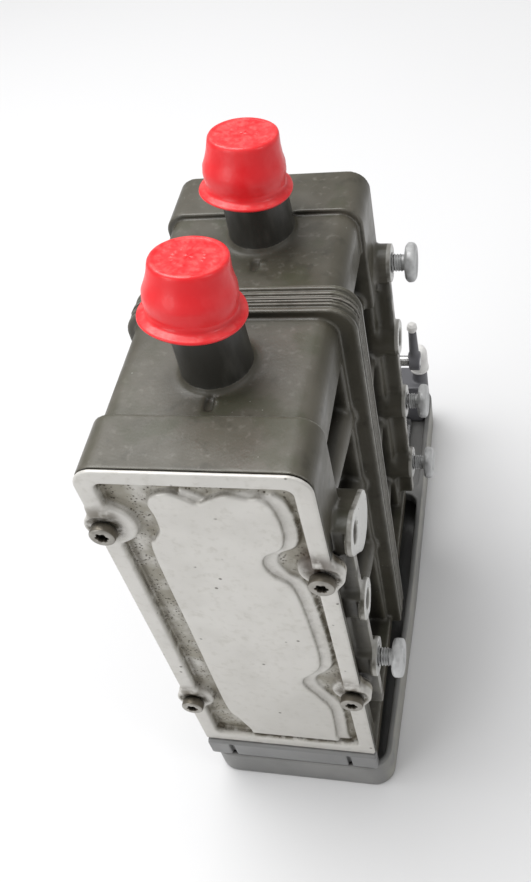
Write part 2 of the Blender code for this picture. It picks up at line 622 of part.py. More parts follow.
def solenoid():
    place = (0.0, 0.0, UPPER_Z)
    tube = turned("core_tube", [(0.0, 137 * MM), (8 * MM, 137 * MM), (9.5 * MM, 135.5 * MM),
                                (9.5 * MM, 69 * MM),
                                (13 * MM, 69 * MM), (13 * MM, 64.3 * MM), (7.5 * MM, 64.3 * MM),
                                (7.5 * MM, 126 * MM), (0.0, 126 * MM)], place, "Y", INNER, PARTS)
    paint(tube, "steel")
    coil = turned("solenoid_coil", [(9.9 * MM, 128 * MM), (17 * MM, 128 * MM), (18 * MM, 127 * MM),
                                    (18 * MM, 89 * MM),
                                    (17 * MM, 88 * MM), (9.9 * MM, 88 * MM), (9.9 * MM, 128 * MM)],
                  place, "Y", ROUND, PARTS)
    paint(coil, "coil")
    nut = cone("coil_nut", (0.0, 128.3 * MM, UPPER_Z), (0.0, 134.5 * MM, UPPER_Z), 13 * MM, segments=6,
               group=PARTS)
    cut(nut, cone("coil_nut_bore", (0.0, 120 * MM, UPPER_Z), (0.0, 140 * MM, UPPER_Z), 9.9 * MM,
                  segments=INNER))
    paint(nut, "zinc")
    plunger = turned("solenoid_plunger", [(0.0, 120 * MM), (7 * MM, 120 * MM), (7 * MM, 92 * MM),
                                          (2.5 * MM, 92 * MM),
                                          (2.5 * MM, 60.4 * MM), (0.0, 60.4 * MM)], place, "Y", INNER, PARTS)
    paint(plunger, "steel")


def seals():
    for tag, port in PORTS.items():
        seal = ring("port_seal_" + tag, 12.5 * MM, 9.6 * MM, 240.5 * MM, BLOCK_HIGH[2] + GAP, (*port, 0.0),
                    steps=INNER, group=PARTS)
        paint(seal, "rubber")
    wiper = ring("spool_wiper", 7.6 * MM, TAIL_R + GAP, 86.4 * MM, 82.4 * MM, (0.0, 0.0, LOWER_Z), "Y",
                 INNER, PARTS)
    paint(wiper, "rubber")
    plug = cone("gallery_plug", (0.0, GALLERY_Y, 226.3 * MM), (0.0, GALLERY_Y, 234 * MM), 6.6 * MM,
                segments=16, group=PARTS)
    paint(plug, "brass")


# ---------------------------------------------------------------- hand lever

def lever_bracket():
    plate_z = DECK_Z + GAP
    bracket = box("lever_bracket", (8 * MM, LEVER_Y - 12 * MM, plate_z),
                  (40 * MM, LEVER_Y + 12 * MM, plate_z + 4 * MM),
                  (), PARTS)
    for index, x in enumerate((9 * MM, 34 * MM)):
        leg = box(f"leg_{index}", (x, LEVER_Y - 6 * MM, plate_z + 2 * MM),
                  (x + 4 * MM, LEVER_Y + 6 * MM, LEVER_Z + 6 * MM),
                  [("X", 5.5 * MM, 4, lambda mid: mid.z > 0.08)])
        join(bracket, leg)
    cut(bracket, cone("shaft_way", (0.0, LEVER_Y, LEVER_Z), (45 * MM, LEVER_Y, LEVER_Z), SHAFT_R + 0.35 * MM,
                      segments=INNER))
    for index, x in enumerate((18 * MM, 29 * MM)):
        cut(bracket, cone(f"bracket_hole_{index}", (x, LEVER_Y, 0.0), (x, LEVER_Y, 30 * MM), 2.4 * MM,
                          segments=16))
    paint(bracket, "steel")
    top = plate_z + 4 * MM + GAP
    for index, x in enumerate((18 * MM, 29 * MM), 1):
        screw = cone(f"bracket_screw_{index}", (x, LEVER_Y, top), (x, LEVER_Y, top + 3 * MM), 4 * MM,
                     segments=16,
                     group=PARTS)
        join(screw, cone(f"bracket_shank_{index}", (x, LEVER_Y, DECK_Z + 0.35 * MM),
                         (x, LEVER_Y, top + 1 * MM),
                         2.0 * MM, segments=12))
        paint(screw, "zinc")


def hand_lever():
    shaft = cone("lever_shaft", (-3.2 * MM, LEVER_Y, LEVER_Z), (LEVER_X + 3 * MM, LEVER_Y, LEVER_Z), SHAFT_R,
                 segments=INNER, group=PARTS)
    paint(shaft, "steel")
    x0, x1 = LEVER_X - 3 * MM, LEVER_X + 3 * MM
    lever = cone("override_lever", (x0, LEVER_Y, LEVER_Z), (x1, LEVER_Y, LEVER_Z), 5.4 * MM, segments=INNER,
                 group=PARTS)
    join(lever, cone("lever_arm", (LEVER_X, LEVER_Y, LEVER_Z), (LEVER_X, LEVER_Y, LEVER_TIP_Z - 6 * MM),
                     2.8 * MM,
                     2.3 * MM, segments=16))
    cut(lever, cone("lever_eye", (x0 - 5 * MM, LEVER_Y, LEVER_Z), (x1 + 5 * MM, LEVER_Y, LEVER_Z),
                    SHAFT_R + GAP, segments=INNER))
    paint(lever, "grey")
    knob = turned("lever_knob", [(0.0, LEVER_TIP_Z), (1.6 * MM, LEVER_TIP_Z - 0.4 * MM),
                                 (2.7 * MM, LEVER_TIP_Z - 1.8 * MM),
                                 (2.9 * MM, LEVER_TIP_Z - 4 * MM), (2.2 * MM, LEVER_TIP_Z - 5.7 * MM),
                                 (0.0, LEVER_TIP_Z - 5.7 * MM)],
                  (LEVER_X, LEVER_Y, 0.0), steps=16, group=PARTS)
    paint(knob, "white")
    finger = cone("shift_finger", (-2.4 * MM, LEVER_Y, LEVER_Z), (2.4 * MM, LEVER_Y, LEVER_Z), 6 * MM,
                  segments=INNER,
                  group=PARTS)
    join(finger, box("finger_arm", (-1.8 * MM, LEVER_Y - 1.2 * MM, LEVER_Z),
                     (1.8 * MM, LEVER_Y + 1.2 * MM, LOWER_Z)))
    join(finger, cone("finger_tip", (-2.2 * MM, LEVER_Y, LOWER_Z), (2.2 * MM, LEVER_Y, LOWER_Z), 2.8 * MM,
                      segments=16))
    cut(finger, cone("finger_eye", (-10 * MM, LEVER_Y, LEVER_Z), (10 * MM, LEVER_Y, LEVER_Z), SHAFT_R + GAP,
                     segments=INNER))
    paint(finger, "steel")


# ---------------------------------------------------------------- socket tower and caps

def socket_tower():
    tx, ty = TOWER_XY
    z0 = DECK_Z + GAP
    body = box("connector_body", (tx - 15 * MM, ty - 9 * MM, z0), (tx + 0.2 * MM, ty + 9 * MM, 50 * MM),
               [("Z", 2 * MM, 2, every_edge)], PARTS)
    cx = tx - 1.1 * MM
    join(body, cone("nozzle", (cx, ty, 30 * MM), (cx, ty, 70 * MM), 4.4 * MM, segments=INNER))
    cut(body, cone("nozzle_bore", (cx, ty, 58 * MM), (cx, ty, 80 * MM), 3.2 * MM, segments=INNER))
    paint(body, "grey")
    insert = cone("contact_insert", (cx, ty, 58 * MM + GAP), (cx, ty, 61 * MM), 2.8 * MM, segments=INNER,
                  group=PARTS)
    for index, dx in enumerate((-1.2 * MM, 1.2 * MM)):
        join(insert, cone(f"pin_{index}", (cx + dx, ty, 60 * MM), (cx + dx, ty, 66 * MM), 0.6 * MM,
                          segments=8))
    paint(insert, "brass")
    cap = turned("connector_cap", [(0.0, 76 * MM), (3.4 * MM, 75.6 * MM), (5.2 * MM, 74 * MM),
                                   (5.9 * MM, 71 * MM),
                                   (5.9 * MM, 58 * MM), (4.75 * MM, 58 * MM), (4.75 * MM, 71 * MM),
                                   (4.2 * MM, 73.8 * MM), (0.0, 74.6 * MM)], (cx, ty, 0.0), steps=INNER,
                 group=PARTS)
    paint(cap, "white")


def port_cap(name, port):
    """Push-on cap: a thin cup with a bulged side and a curled flange at its mouth."""
    foot, top = CAPS[port]
    profile = [(0.0, top), (12.6 * MM, top), (13.9 * MM, top - 1.4 * MM), (16 * MM, top - 8 * MM),
               (16.4 * MM, foot + 9 * MM), (15.9 * MM, foot + 5 * MM), (15.5 * MM, foot + 2.5 * MM),
               (CAP_FLANGE_R, foot + 1.4 * MM), (CAP_FLANGE_R, foot), (14 * MM, foot),
               (14 * MM, top - 8 * MM), (12.6 * MM, top - CAP_WALL), (0.0, top - CAP_WALL)]
    return paint(turned(name, profile, (*PORTS[port], 0.0), group=PARTS), "red")


# ---------------------------------------------------------------- mounting bolts

def mounting_bolts():
    front, rear = BOSS_LEVELS["front"], BOSS_LEVELS["rear"]
    spots = [(FRONT_BOSS_Y, front[2]), (REAR_BOSS_Y, rear[0]), (REAR_BOSS_Y, rear[2]),
             (REAR_BOSS_Y, rear[3])]
    for index, (y, z) in enumerate(spots, 1):
        bolt = cone(f"mounting_bolt_{index}", (BOLT_HEAD_X, y, z), (BOLT_HEAD_X + 1.6 * MM, y, z), 8.8 * MM,
                    8.4 * MM,
                    segments=INNER, group=PARTS)
        join(bolt, cone(f"bolt_hex_{index}", (BOLT_HEAD_X + 1 * MM, y, z), (BOLT_HEAD_X + 6.7 * MM, y, z),
                        7.5 * MM,
                        segments=6))
        join(bolt, cone(f"bolt_shank_{index}", (PAD_X - 14 * MM, y, z), (BOLT_HEAD_X + 0.8 * MM, y, z),
                        BOLT_R,
                        segments=INNER))
        paint(bolt, "zinc")


def main():
    casing_half("front_housing", -1, "front")
    casing_half("rear_housing", 1, "rear")
    joint_gasket()
    for tag in COVERS:
        cover(tag + "_cover", tag)
        cover_gasket(tag + "_cover_gasket", tag)
        cover_screws(tag + "_cover_screw", tag)
        port_cap("port_cap_" + tag, tag)
    base_cover()
    base_screws()
    control_board()
    valve_block()
    spools()
    return_springs()
    check_valve()
    relief_valve()
    solenoid()
    seals()
    lever_bracket()
    hand_lever()
    socket_tower()
    mounting_bolts()


main()
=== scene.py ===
"""Looks of the hydraulic monoblock valve: casing halves, covers, caps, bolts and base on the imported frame.

Shapes are in millimetres in the frame's own axes and become metres when a mesh is made.
"""

import json
import math

import bmesh
import bpy
import numpy as np
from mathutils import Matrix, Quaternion, Vector


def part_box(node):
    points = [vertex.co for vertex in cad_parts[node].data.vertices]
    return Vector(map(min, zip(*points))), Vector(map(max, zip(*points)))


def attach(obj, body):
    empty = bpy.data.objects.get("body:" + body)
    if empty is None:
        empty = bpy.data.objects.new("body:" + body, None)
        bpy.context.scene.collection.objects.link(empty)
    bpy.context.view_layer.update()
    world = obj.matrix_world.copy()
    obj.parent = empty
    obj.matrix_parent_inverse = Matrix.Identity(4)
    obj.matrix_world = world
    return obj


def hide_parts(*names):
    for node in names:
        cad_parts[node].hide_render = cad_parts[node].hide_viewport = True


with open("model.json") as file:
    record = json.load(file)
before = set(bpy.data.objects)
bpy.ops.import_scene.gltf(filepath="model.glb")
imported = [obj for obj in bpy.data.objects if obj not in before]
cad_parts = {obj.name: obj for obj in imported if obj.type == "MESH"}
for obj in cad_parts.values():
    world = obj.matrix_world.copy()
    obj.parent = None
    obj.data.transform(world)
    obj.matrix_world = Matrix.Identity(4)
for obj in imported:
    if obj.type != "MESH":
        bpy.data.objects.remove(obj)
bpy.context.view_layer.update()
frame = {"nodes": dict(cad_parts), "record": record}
MM = 0.001


def corners(node):
    """Lowest and highest corner of a CAD node in millimetres."""
    return [np.array(point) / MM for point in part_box(node)]


def middle(node):
    low, high = corners(node)
    return (low + high) / 2


# Driving dimensions, read from the frame
FRONT_LOW, FRONT_HIGH = corners("front_cover")
REAR_LOW, REAR_HIGH = corners("rear_cover")
BASE_LOW, BASE_HIGH = corners("base_cover")
GASKET_LOW, GASKET_HIGH = corners("housing_gasket")
FRONT_Y = FRONT_LOW[1]
COVER_LOW, COVER_HIGH = FRONT_LOW[2], FRONT_HIGH[2]
GAP = 0.3
HALF_W = 42.0
REAR_HALF_W = 37.0
INSET = 2.2  # how far a casing half steps in behind its collar
CORNER_R = 9.0
COLLAR = 26.0
FLANGE = 4.3
WALL = 3.5
SIDE_X = 30.0  # the wall behind the side bosses
SKIRT_Z = 223.4  # the top of the recess that holds the bosses
JOINT_Y = 0.7  # where each half ends at the joint gasket
BAND = 7.2
BAND_LEFT, BAND_FOOT = GASKET_LOW[0], GASKET_LOW[2]
BAND_RIGHT, BAND_TOP = GASKET_HIGH[0], GASKET_HIGH[2]
MAIN_TOP = COVER_HIGH - INSET
FOOT_Z = BASE_HIGH[2] + GAP
FOOT_Y = BASE_LOW[1] + GAP
FOOT_LOW = 20.5
PAD_X = 49.6  # the milled ends of the bosses
BOSS_R = 8.4
BOSS_HOLE_R = 4.3
BOSS_HOLE_X = 29.0
SCREW_HOLE_R = 3.3
HALVES = {
    "front": {
        "side": -1,
        "face": corners("front_cover_gasket")[1][1] + GAP,
        "boss_y": middle("mounting_bolt_1")[1],
        "levels": [200.0, 155.5, middle("mounting_bolt_1")[2]],
    },
    "rear": {
        "side": 1,
        "face": corners("rear_housing")[1][1],
        "boss_y": middle("mounting_bolt_2")[1],
        "levels": [middle("mounting_bolt_2")[2], 160.0, middle("mounting_bolt_3")[2],
                   middle("mounting_bolt_4")[2]],
    },
}
PORTS = {"front": middle("port_cap_front"), "rear": middle("port_cap_rear")}
PORT_TOP = 283.0
SPIGOT_R = 13.2


# ---------------------------------------------------------------- finishes

class Finish:
    """A Principled material whose colour, roughness, metal and bump are built up in layers."""

    def __init__(self, name, color, roughness, metallic=0.0, **sockets):
        self.material = bpy.data.materials.new(name)
        self.material.use_nodes = True
        self.tree = self.material.node_tree
        self.shader = self.tree.nodes["Principled BSDF"]
        self.shader.inputs["Base Color"].default_value = (*color, 1.0)
        self.shader.inputs["Roughness"].default_value = roughness
        self.shader.inputs["Metallic"].default_value = metallic
        for key, value in sockets.items():
            self.shader.inputs[key.replace("_", " ")].default_value = value
        self.place = self.node("ShaderNodeTexCoord").outputs["Object"]
        self.height = None

    def node(self, kind, **settings):
        """A node whose sockets and attributes are set by name; a socket value links, any other is stored."""
        made = self.tree.nodes.new(kind)
        for key, value in settings.items():
            if hasattr(made, key):
                setattr(made, key, value)
                continue
            where = int(key[3:]) if key.startswith("in_") else key.replace("_", " ")
            self.feed(made.inputs[where], value)
        return made

    def feed(self, socket, value):
        if isinstance(value, bpy.types.NodeSocket):
            self.tree.links.new(value, socket)
        else:
            socket.default_value = value

    def math(self, operation, first, second=0.0):
        return self.node("ShaderNodeMath", operation=operation, in_0=first, in_1=second).outputs[0]

    def noise(self, size, detail=3.0, stretch=None):
        """Noise from 0 to 1 whose lumps are about size millimetres across."""
        place = self.place
        if stretch:
            place = self.node("ShaderNodeMapping", Vector=place, Scale=stretch).outputs[0]
        made = self.node("ShaderNodeTexNoise", Vector=place, Scale=1000.0 / size, Detail=detail)
        return made.outputs["Fac"]

    def cells(self, size):
        """Distance to the nearest of many scattered points, about size millimetres apart."""
        made = self.node("ShaderNodeTexVoronoi", Vector=self.place, Scale=1000.0 / size)
        return made.outputs["Distance"]

    def between(self, value, low, high):
        """0 below low and 1 above high, smooth in between; reversed when low is above high."""
        flip = low > high
        start, end = (high, low) if flip else (low, high)
        made = self.node("ShaderNodeMapRange", interpolation_type="SMOOTHSTEP", Value=value, From_Min=start,
                         From_Max=end, To_Min=float(flip), To_Max=float(not flip))
        return made.outputs[0]

    def axis(self, name):
        return self.node("ShaderNodeSeparateXYZ", Vector=self.place).outputs[name]

    def normal(self, name):
        geometry = self.node("ShaderNodeNewGeometry")
        return self.node("ShaderNodeSeparateXYZ", Vector=geometry.outputs["Normal"]).outputs[name]

    def patches(self, low, high, size, detail=3.0):
        """Cloudy patches about size millimetres across: 1 where the noise is past high."""
        return self.between(self.noise(size, detail), low, high)

    def dots(self, outer, inner, size):
        """Soft dots about size millimetres apart, reaching from inner to outer cell distance."""
        return self.between(self.cells(size), outer, inner)

    def corners(self, low, high, reach):
        return self.between(self.hollow(reach), low, high)

    def facing(self, name, low, high):
        return self.between(self.normal(name), low, high)

    def along(self, name, low, high):
        """0 below low and 1 above high millimetres on an axis of the frame."""
        return self.between(self.axis(name), low * MM, high * MM)

    def near(self, point, inner, outer):
        """1 within inner millimetres of a point and 0 beyond outer."""
        spot = tuple(value * MM for value in point)
        gap = self.node("ShaderNodeVectorMath", operation="DISTANCE", in_0=self.place, in_1=spot)
        return self.between(gap.outputs["Value"], outer * MM, inner * MM)

    def hollow(self, reach):
        """1 deep in a corner and 0 in the open, looking reach millimetres around."""
        made = self.node("ShaderNodeAmbientOcclusion", samples=6, Distance=reach * MM)
        return self.math("SUBTRACT", 1.0, made.outputs["AO"])

    def edge(self, reach):
        """1 on an outward edge, where a normal bevelled by reach millimetres leaves the true one."""
        round_off = self.node("ShaderNodeBevel", samples=6, Radius=reach * MM).outputs["Normal"]
        true = self.node("ShaderNodeNewGeometry").outputs["Normal"]
        facing = self.node("ShaderNodeVectorMath", operation="DOT_PRODUCT", in_0=round_off, in_1=true)
        return self.both(self.between(facing.outputs["Value"], 0.995, 0.93),
                         self.between(self.hollow(3), 0.35, 0.1))

    def both(self, first, second):
        return self.math("MULTIPLY", first, second)

    def either(self, first, second):
        return self.math("MAXIMUM", first, second)

    def current(self, socket):
        return socket.links[0].from_socket if socket.is_linked else socket.default_value

    def tint(self, mask, color, amount=1.0):
        socket = self.shader.inputs["Base Color"]
        before = self.current(socket)
        before = before if isinstance(before, bpy.types.NodeSocket) else tuple(before)
        mix = self.node("ShaderNodeMix", data_type="RGBA")
        self.feed(mix.inputs[0], self.math("MULTIPLY", mask, amount))
        self.feed(mix.inputs[6], before)
        self.feed(mix.inputs[7], (*color, 1.0))
        self.tree.links.new(mix.outputs[2], socket)

    def shift(self, name, mask, value):
        """Moves the roughness or metallic value towards value where mask is 1."""
        socket = self.shader.inputs[name]
        mix = self.node("ShaderNodeMix", data_type="FLOAT")
        self.feed(mix.inputs[0], mask)
        self.feed(mix.inputs[2], self.current(socket))
        self.feed(mix.inputs[3], value)
        self.tree.links.new(mix.outputs[0], socket)

    def emboss(self, value, depth):
        """Adds relief: value of 1 stands depth millimetres above value of 0."""
        bump = self.node("ShaderNodeBump", Strength=1.0, Distance=depth * MM, Height=value)
        if self.height is not None:
            self.tree.links.new(self.height, bump.inputs["Normal"])
        self.height = bump.outputs[0]
        self.tree.links.new(self.height, self.shader.inputs["Normal"])


def casting_finish(name="casting_paint"):
    """Dark olive-grey satin casing: mottled, dusty on top, scuffed at edges with a painted highlight along
    them, painted shade in the side recess and in corners, painted highlight strips near the boss ends,
    bright milled bosses.
    """
    finish = Finish(name, (0.062, 0.057, 0.041), 0.33)
    finish.tint(finish.patches(0.35, 0.7, 34, 4), (0.098, 0.09, 0.07))
    finish.tint(finish.patches(0.52, 0.72, 7, 5), (0.04, 0.037, 0.026), 0.7)
    top = finish.facing("Z", 0.75, 0.99)
    finish.tint(finish.both(top, finish.patches(0.42, 0.62, 45, 3)), (0.12, 0.112, 0.092), 0.7)
    finish.tint(finish.both(top, finish.patches(0.56, 0.75, 3.2, 5)), (0.2, 0.19, 0.165), 0.4)
    olive = finish.both(top, finish.patches(0.52, 0.66, 22, 3))
    finish.tint(olive, (0.045, 0.05, 0.024), 0.5)
    # painted shade: the side recess below the skirt is tinted near-black, where shade falls
    shaded_recess = finish.both(finish.along("X", 38.5, 35.0),
                         finish.along("X", 26, 29))
    low = finish.along("Z", SKIRT_Z + 1, SKIRT_Z - 4)
    finish.tint(finish.both(shaded_recess, low), (0.022, 0.02, 0.015), 0.8)
    # painted shade: near-black in corners and hollows, from occlusion within 18 mm
    finish.tint(finish.corners(0.22, 0.75, 18), (0.008, 0.007, 0.006), 0.92)
    # outward edges lighter: partly scuffed paint, partly a painted highlight where the edges catch light
    worn_and_lit_edges = finish.both(finish.edge(1.2), finish.patches(0.3, 0.6, 6, 4))
    finish.tint(worn_and_lit_edges, (0.42, 0.41, 0.37), 0.75)
    specks = finish.dots(0.06, 0.02, 5.5)
    finish.tint(finish.both(specks, finish.patches(0.5, 0.6, 11)), (0.5, 0.49, 0.46), 0.7)
    finish.shift("Roughness", finish.patches(0.35, 0.7, 16, 5), 0.48)
    flange = finish.both(finish.along("Z", COVER_LOW + 0.1, COVER_LOW - 0.4),
                         finish.along("Y", FRONT_Y + 3, FRONT_Y + 1))
    finish.tint(flange, (0.2, 0.2, 0.198))
    finish.emboss(finish.noise(1.1, 3), 0.05)
    finish.emboss(finish.noise(9, 2), 0.12)
    # painted highlight: patchy lighter strips on the faces just short of the boss ends, where the web and
    # band edges catch light
    highlight_strips = finish.both(finish.along("X", 47.6, 47.9),
                         finish.patches(0.3, 0.5, 9, 3))
    finish.tint(highlight_strips, (0.4, 0.39, 0.36), 0.8)
    milled = finish.along("X", PAD_X - 0.35, PAD_X - 0.15)
    finish.tint(milled, (0.62, 0.62, 0.6))
    finish.shift("Metallic", milled, 0.6)
    pits = finish.both(milled, finish.dots(0.3, 0.12, 1.9))
    finish.tint(finish.both(pits, finish.patches(0.48, 0.6, 6)), (0.12, 0.11, 0.09), 0.9)
    return finish.material


def spigot_finish():
    finish = Finish("spigot_black", (0.028, 0.027, 0.023), 0.4)
    finish.tint(finish.between(finish.noise(6, 4, (1.0, 1.0, 0.3)), 0.45, 0.7), (0.07, 0.068, 0.06), 0.6)
    finish.emboss(finish.noise(1.0, 3), 0.04)
    return finish.material


def aluminium_finish(name, screws, floor_y):
    """Raw cast aluminium: warm light grey, pitted, darker brown in corners from oily grime and painted
    shade, and darker patches above the screws.
    """
    finish = Finish(name, (0.66, 0.645, 0.61), 0.42, 0.3)
    finish.tint(finish.patches(0.4, 0.7, 26, 4), (0.58, 0.565, 0.53), 0.7)
    finish.tint(finish.patches(0.5, 0.75, 3, 5), (0.47, 0.45, 0.4), 0.35)
    below = finish.along("Z", COVER_LOW + 130, COVER_LOW + 10)
    finish.tint(below, (0.5, 0.485, 0.45), 0.45)
    side = 1 if floor_y > 0 else -1
    deep = finish.along("Y", floor_y + side * 1.5, floor_y + side * 0.3)
    finish.tint(finish.both(deep, finish.patches(0.24, 0.6, 13, 4)), (0.27, 0.25, 0.195), 0.85)
    # darker brown in corners: partly oily grime, partly painted shade
    corner = finish.corners(0.08, 0.36, 5)
    finish.tint(finish.both(corner, finish.patches(0.28, 0.56, 4, 5)), (0.1, 0.082, 0.05), 0.92)
    pits = finish.both(finish.dots(0.38, 0.16, 1.4), finish.patches(0.4, 0.52, 6, 3))
    finish.tint(finish.both(pits, finish.either(corner, deep)), (0.07, 0.058, 0.04), 0.92)
    lone = finish.both(finish.dots(0.1, 0.05, 9), finish.patches(0.5, 0.56, 21))
    finish.tint(lone, (0.16, 0.15, 0.13), 0.9)
    for place, inner, outer, color in screws:
        # darker brown or grey patch centred above the screw
        dark_patch = finish.both(finish.near(place, inner, outer), finish.patches(0.3, 0.56, 5, 4))
        finish.tint(dark_patch, color, 0.9)
    finish.shift("Roughness", finish.patches(0.35, 0.7, 12, 4), 0.55)
    finish.emboss(finish.noise(0.9, 4), 0.04)
    finish.emboss(finish.noise(5, 3), 0.16)
    finish.emboss(finish.math("SUBTRACT", 1.0, finish.both(pits, finish.either(corner, deep))), 0.2)
    return finish.material


def base_finish():
    finish = Finish("base_grey", (0.16, 0.16, 0.155), 0.4)
    finish.tint(finish.patches(0.4, 0.7, 30, 4), (0.22, 0.217, 0.21), 0.8)
    # painted light: faces turned to +X are tinted lighter, as they are more brightly lit
    side = finish.both(finish.facing("X", 0.5, 0.95), finish.patches(0.3, 0.6, 20, 3))
    finish.tint(side, (0.33, 0.32, 0.27), 0.6)
    # painted shade: near-black in the tray's corners and hollows
    finish.tint(finish.corners(0.45, 0.95, 14), (0.03, 0.028, 0.026), 0.85)
    finish.tint(finish.dots(0.05, 0.02, 6), (0.5, 0.49, 0.47), 0.5)
    finish.emboss(finish.noise(0.8, 2), 0.035)
    return finish.material


def red_finish():
    finish = Finish("red_cap", (0.8, 0.012, 0.018), 0.36, 0.0, Subsurface_Weight=0.25,
                    Subsurface_Radius=(1.0, 0.3, 0.2), Subsurface_Scale=0.002, Coat_Weight=0.15)
    finish.tint(finish.patches(0.42, 0.7, 9, 3), (0.84, 0.045, 0.05), 0.7)
    rubbed = finish.both(finish.facing("Z", 0.7, 0.97), finish.patches(0.4, 0.7, 3, 4))
    finish.tint(rubbed, (0.88, 0.16, 0.15), 0.45)
    finish.shift("Roughness", finish.patches(0.4, 0.7, 5, 4), 0.48)
    finish.emboss(finish.noise(2.4, 3), 0.06)
    return finish.material


def steel_finish(name, color, roughness, grain=0.03, metallic=0.9):
    """Plain metal with a fine grain, slight staining and painted shade in its corners."""
    finish = Finish(name, color, roughness, metallic)
    finish.tint(finish.patches(0.45, 0.75, 4, 4), tuple(value * 0.62 for value in color), 0.6)
    # painted shade: near-black in corners and sockets
    finish.tint(finish.corners(0.2, 0.6, 2.5), (0.03, 0.026, 0.02), 0.9)
    finish.shift("Roughness", finish.patches(0.4, 0.7, 3, 4), min(1.0, roughness + 0.18))
    finish.emboss(finish.noise(0.7, 3), grain)
    return finish.material


def screw_finish():
    """Cover screws: rubbed end faces, oily brown sides, and painted shade in the sockets."""
    finish = Finish("screw_steel", (0.36, 0.345, 0.315), 0.42, 0.75)
    sides = finish.between(finish.math("ABSOLUTE", finish.normal("Y")), 0.75, 0.35)
    finish.tint(sides, (0.1, 0.085, 0.062), 0.9)
    finish.tint(finish.patches(0.45, 0.75, 4, 4), (0.2, 0.185, 0.16), 0.6)
    # painted shade: near-black in the sockets and corners
    finish.tint(finish.corners(0.15, 0.5, 3.5), (0.02, 0.017, 0.012), 0.95)
    finish.shift("Roughness", finish.patches(0.4, 0.7, 3, 4), 0.6)
    finish.emboss(finish.noise(0.7, 3), 0.04)
    return finish.material


def plastic_finish(name, color, roughness, grain=0.03):
    finish = Finish(name, color, roughness)
    finish.tint(finish.patches(0.42, 0.7, 8, 4), tuple(value * 0.8 for value in color), 0.6)
    # painted shade: darker in corners and hollows
    finish.tint(finish.corners(0.4, 0.95, 3), tuple(value * 0.3 for value in color), 0.7)
    finish.emboss(finish.noise(0.8, 2), grain)
    return finish.material


def board_finish():
    finish = Finish("board_green", (0.02, 0.12, 0.05), 0.45)
    above = finish.along("Z", 9.7, 9.9)
    finish.tint(above, (0.02, 0.02, 0.022))
    bricks = finish.node("ShaderNodeTexBrick", Vector=finish.place, Scale=160.0).outputs["Fac"]
    tracks = finish.between(bricks, 0.4, 0.6)
    finish.tint(finish.both(tracks, finish.math("SUBTRACT", 1.0, above)), (0.05, 0.25, 0.11))
    return finish.material


BROWN = (0.05, 0.028, 0.012)
WARM_GREY = (0.14, 0.12, 0.09)


def patches_above_screws():
    """Darker patches centred just above each front screw: place, inner and outer reach, colour."""
    stains = []
    for index in range(1, 5):
        place = middle(f"front_cover_screw_{index}")
        right = place[0] > 0
        stains.append(((place[0] - (2 if right else 0), FRONT_Y + 2, place[2] + 7), 2.0,
                       12.0 if right else 9.0,
                       BROWN if right and place[2] > 120 else WARM_GREY))
    return stains


FINISH = {
    "casting": casting_finish(),
    "spigot": spigot_finish(),
    "front_cover": aluminium_finish("cast_aluminium_front", patches_above_screws(), FRONT_Y + 4.3),
    "rear_cover": aluminium_finish("cast_aluminium_rear", [], REAR_HIGH[1] - 3.6),
    "block": steel_finish("block_milled", (0.55, 0.55, 0.54), 0.35),
    "base": base_finish(),
    "red": red_finish(),
    "white": plastic_finish("white_plastic", (0.78, 0.77, 0.75), 0.4),
    "grey": plastic_finish("grey_plastic", (0.12, 0.12, 0.13), 0.45),
    "screw": screw_finish(),
    "steel": steel_finish("ground_steel", (0.5, 0.5, 0.5), 0.25, 0.01),
    "zinc": steel_finish("zinc_dull", (0.57, 0.575, 0.575), 0.5, 0.08, 0.45),
    "brass": steel_finish("brass_turned", (0.6, 0.42, 0.16), 0.3, 0.02),
    "rubber": plastic_finish("rubber_black", (0.02, 0.02, 0.02), 0.7),
    "fibre": plastic_finish("gasket_fibre", (0.17, 0.16, 0.14), 0.7),
    "coil": plastic_finish("coil_resin", (0.03, 0.03, 0.033), 0.4),
    "board": board_finish(),
}
SLOT_FINISH = {"casting": "casting", "cast_aluminium": "front_cover", "block": "block",
               "base_plastic": "base",
               "red_cap": "red", "white_cap": "white", "grey_plastic": "grey", "dark_steel": "screw",
               "steel": "steel", "zinc": "zinc", "brass": "brass", "rubber": "rubber", "coil_resin": "coil",
               "board": "board"}


# ---------------------------------------------------------------- shapes as signed distances

def steps(low, high, coarse, spans=()):
    """Grid lines from low to high: coarse steps, and finer ones inside each (start, end, fine) span."""
    lines = [low]
    while lines[-1] < high:
        here = lines[-1]
        lines.append(here + min([fine for start, end,
                                 fine in spans if start - coarse < here < end] + [coarse]))
    return np.array(lines, np.float32)


def rounded(wide, deep, r):
    """Distance to a shape whose edge is rounded by r, from its two distances shrunk by r."""
    outside = np.sqrt(np.maximum(wide, 0) ** 2 + np.maximum(deep, 0) ** 2)
    return outside + np.minimum(np.maximum(wide, deep), 0) - r


def around_box(low, high, *paces, margin=1.5):
    """Grid lines with the given steps along X, Y and Z, from below low to above high."""
    return [steps(a - margin, b + margin, pace) for a, b, pace in zip(low, high, paces)]


def slab(low, high, r=1.0):
    """Box with rounded edges."""
    low, high = np.array(low, float), np.array(high, float)
    center, half = (low + high) / 2, (high - low) / 2 - r

    def distance(*point):
        sides = [np.abs(value - c) - h for value, c, h in zip(point, center, half)]
        outside = np.sqrt(sum(np.maximum(side, 0) ** 2 for side in sides))
        return outside + np.minimum(np.maximum(np.maximum(sides[0], sides[1]), sides[2]), 0) - r
    return distance, low, high


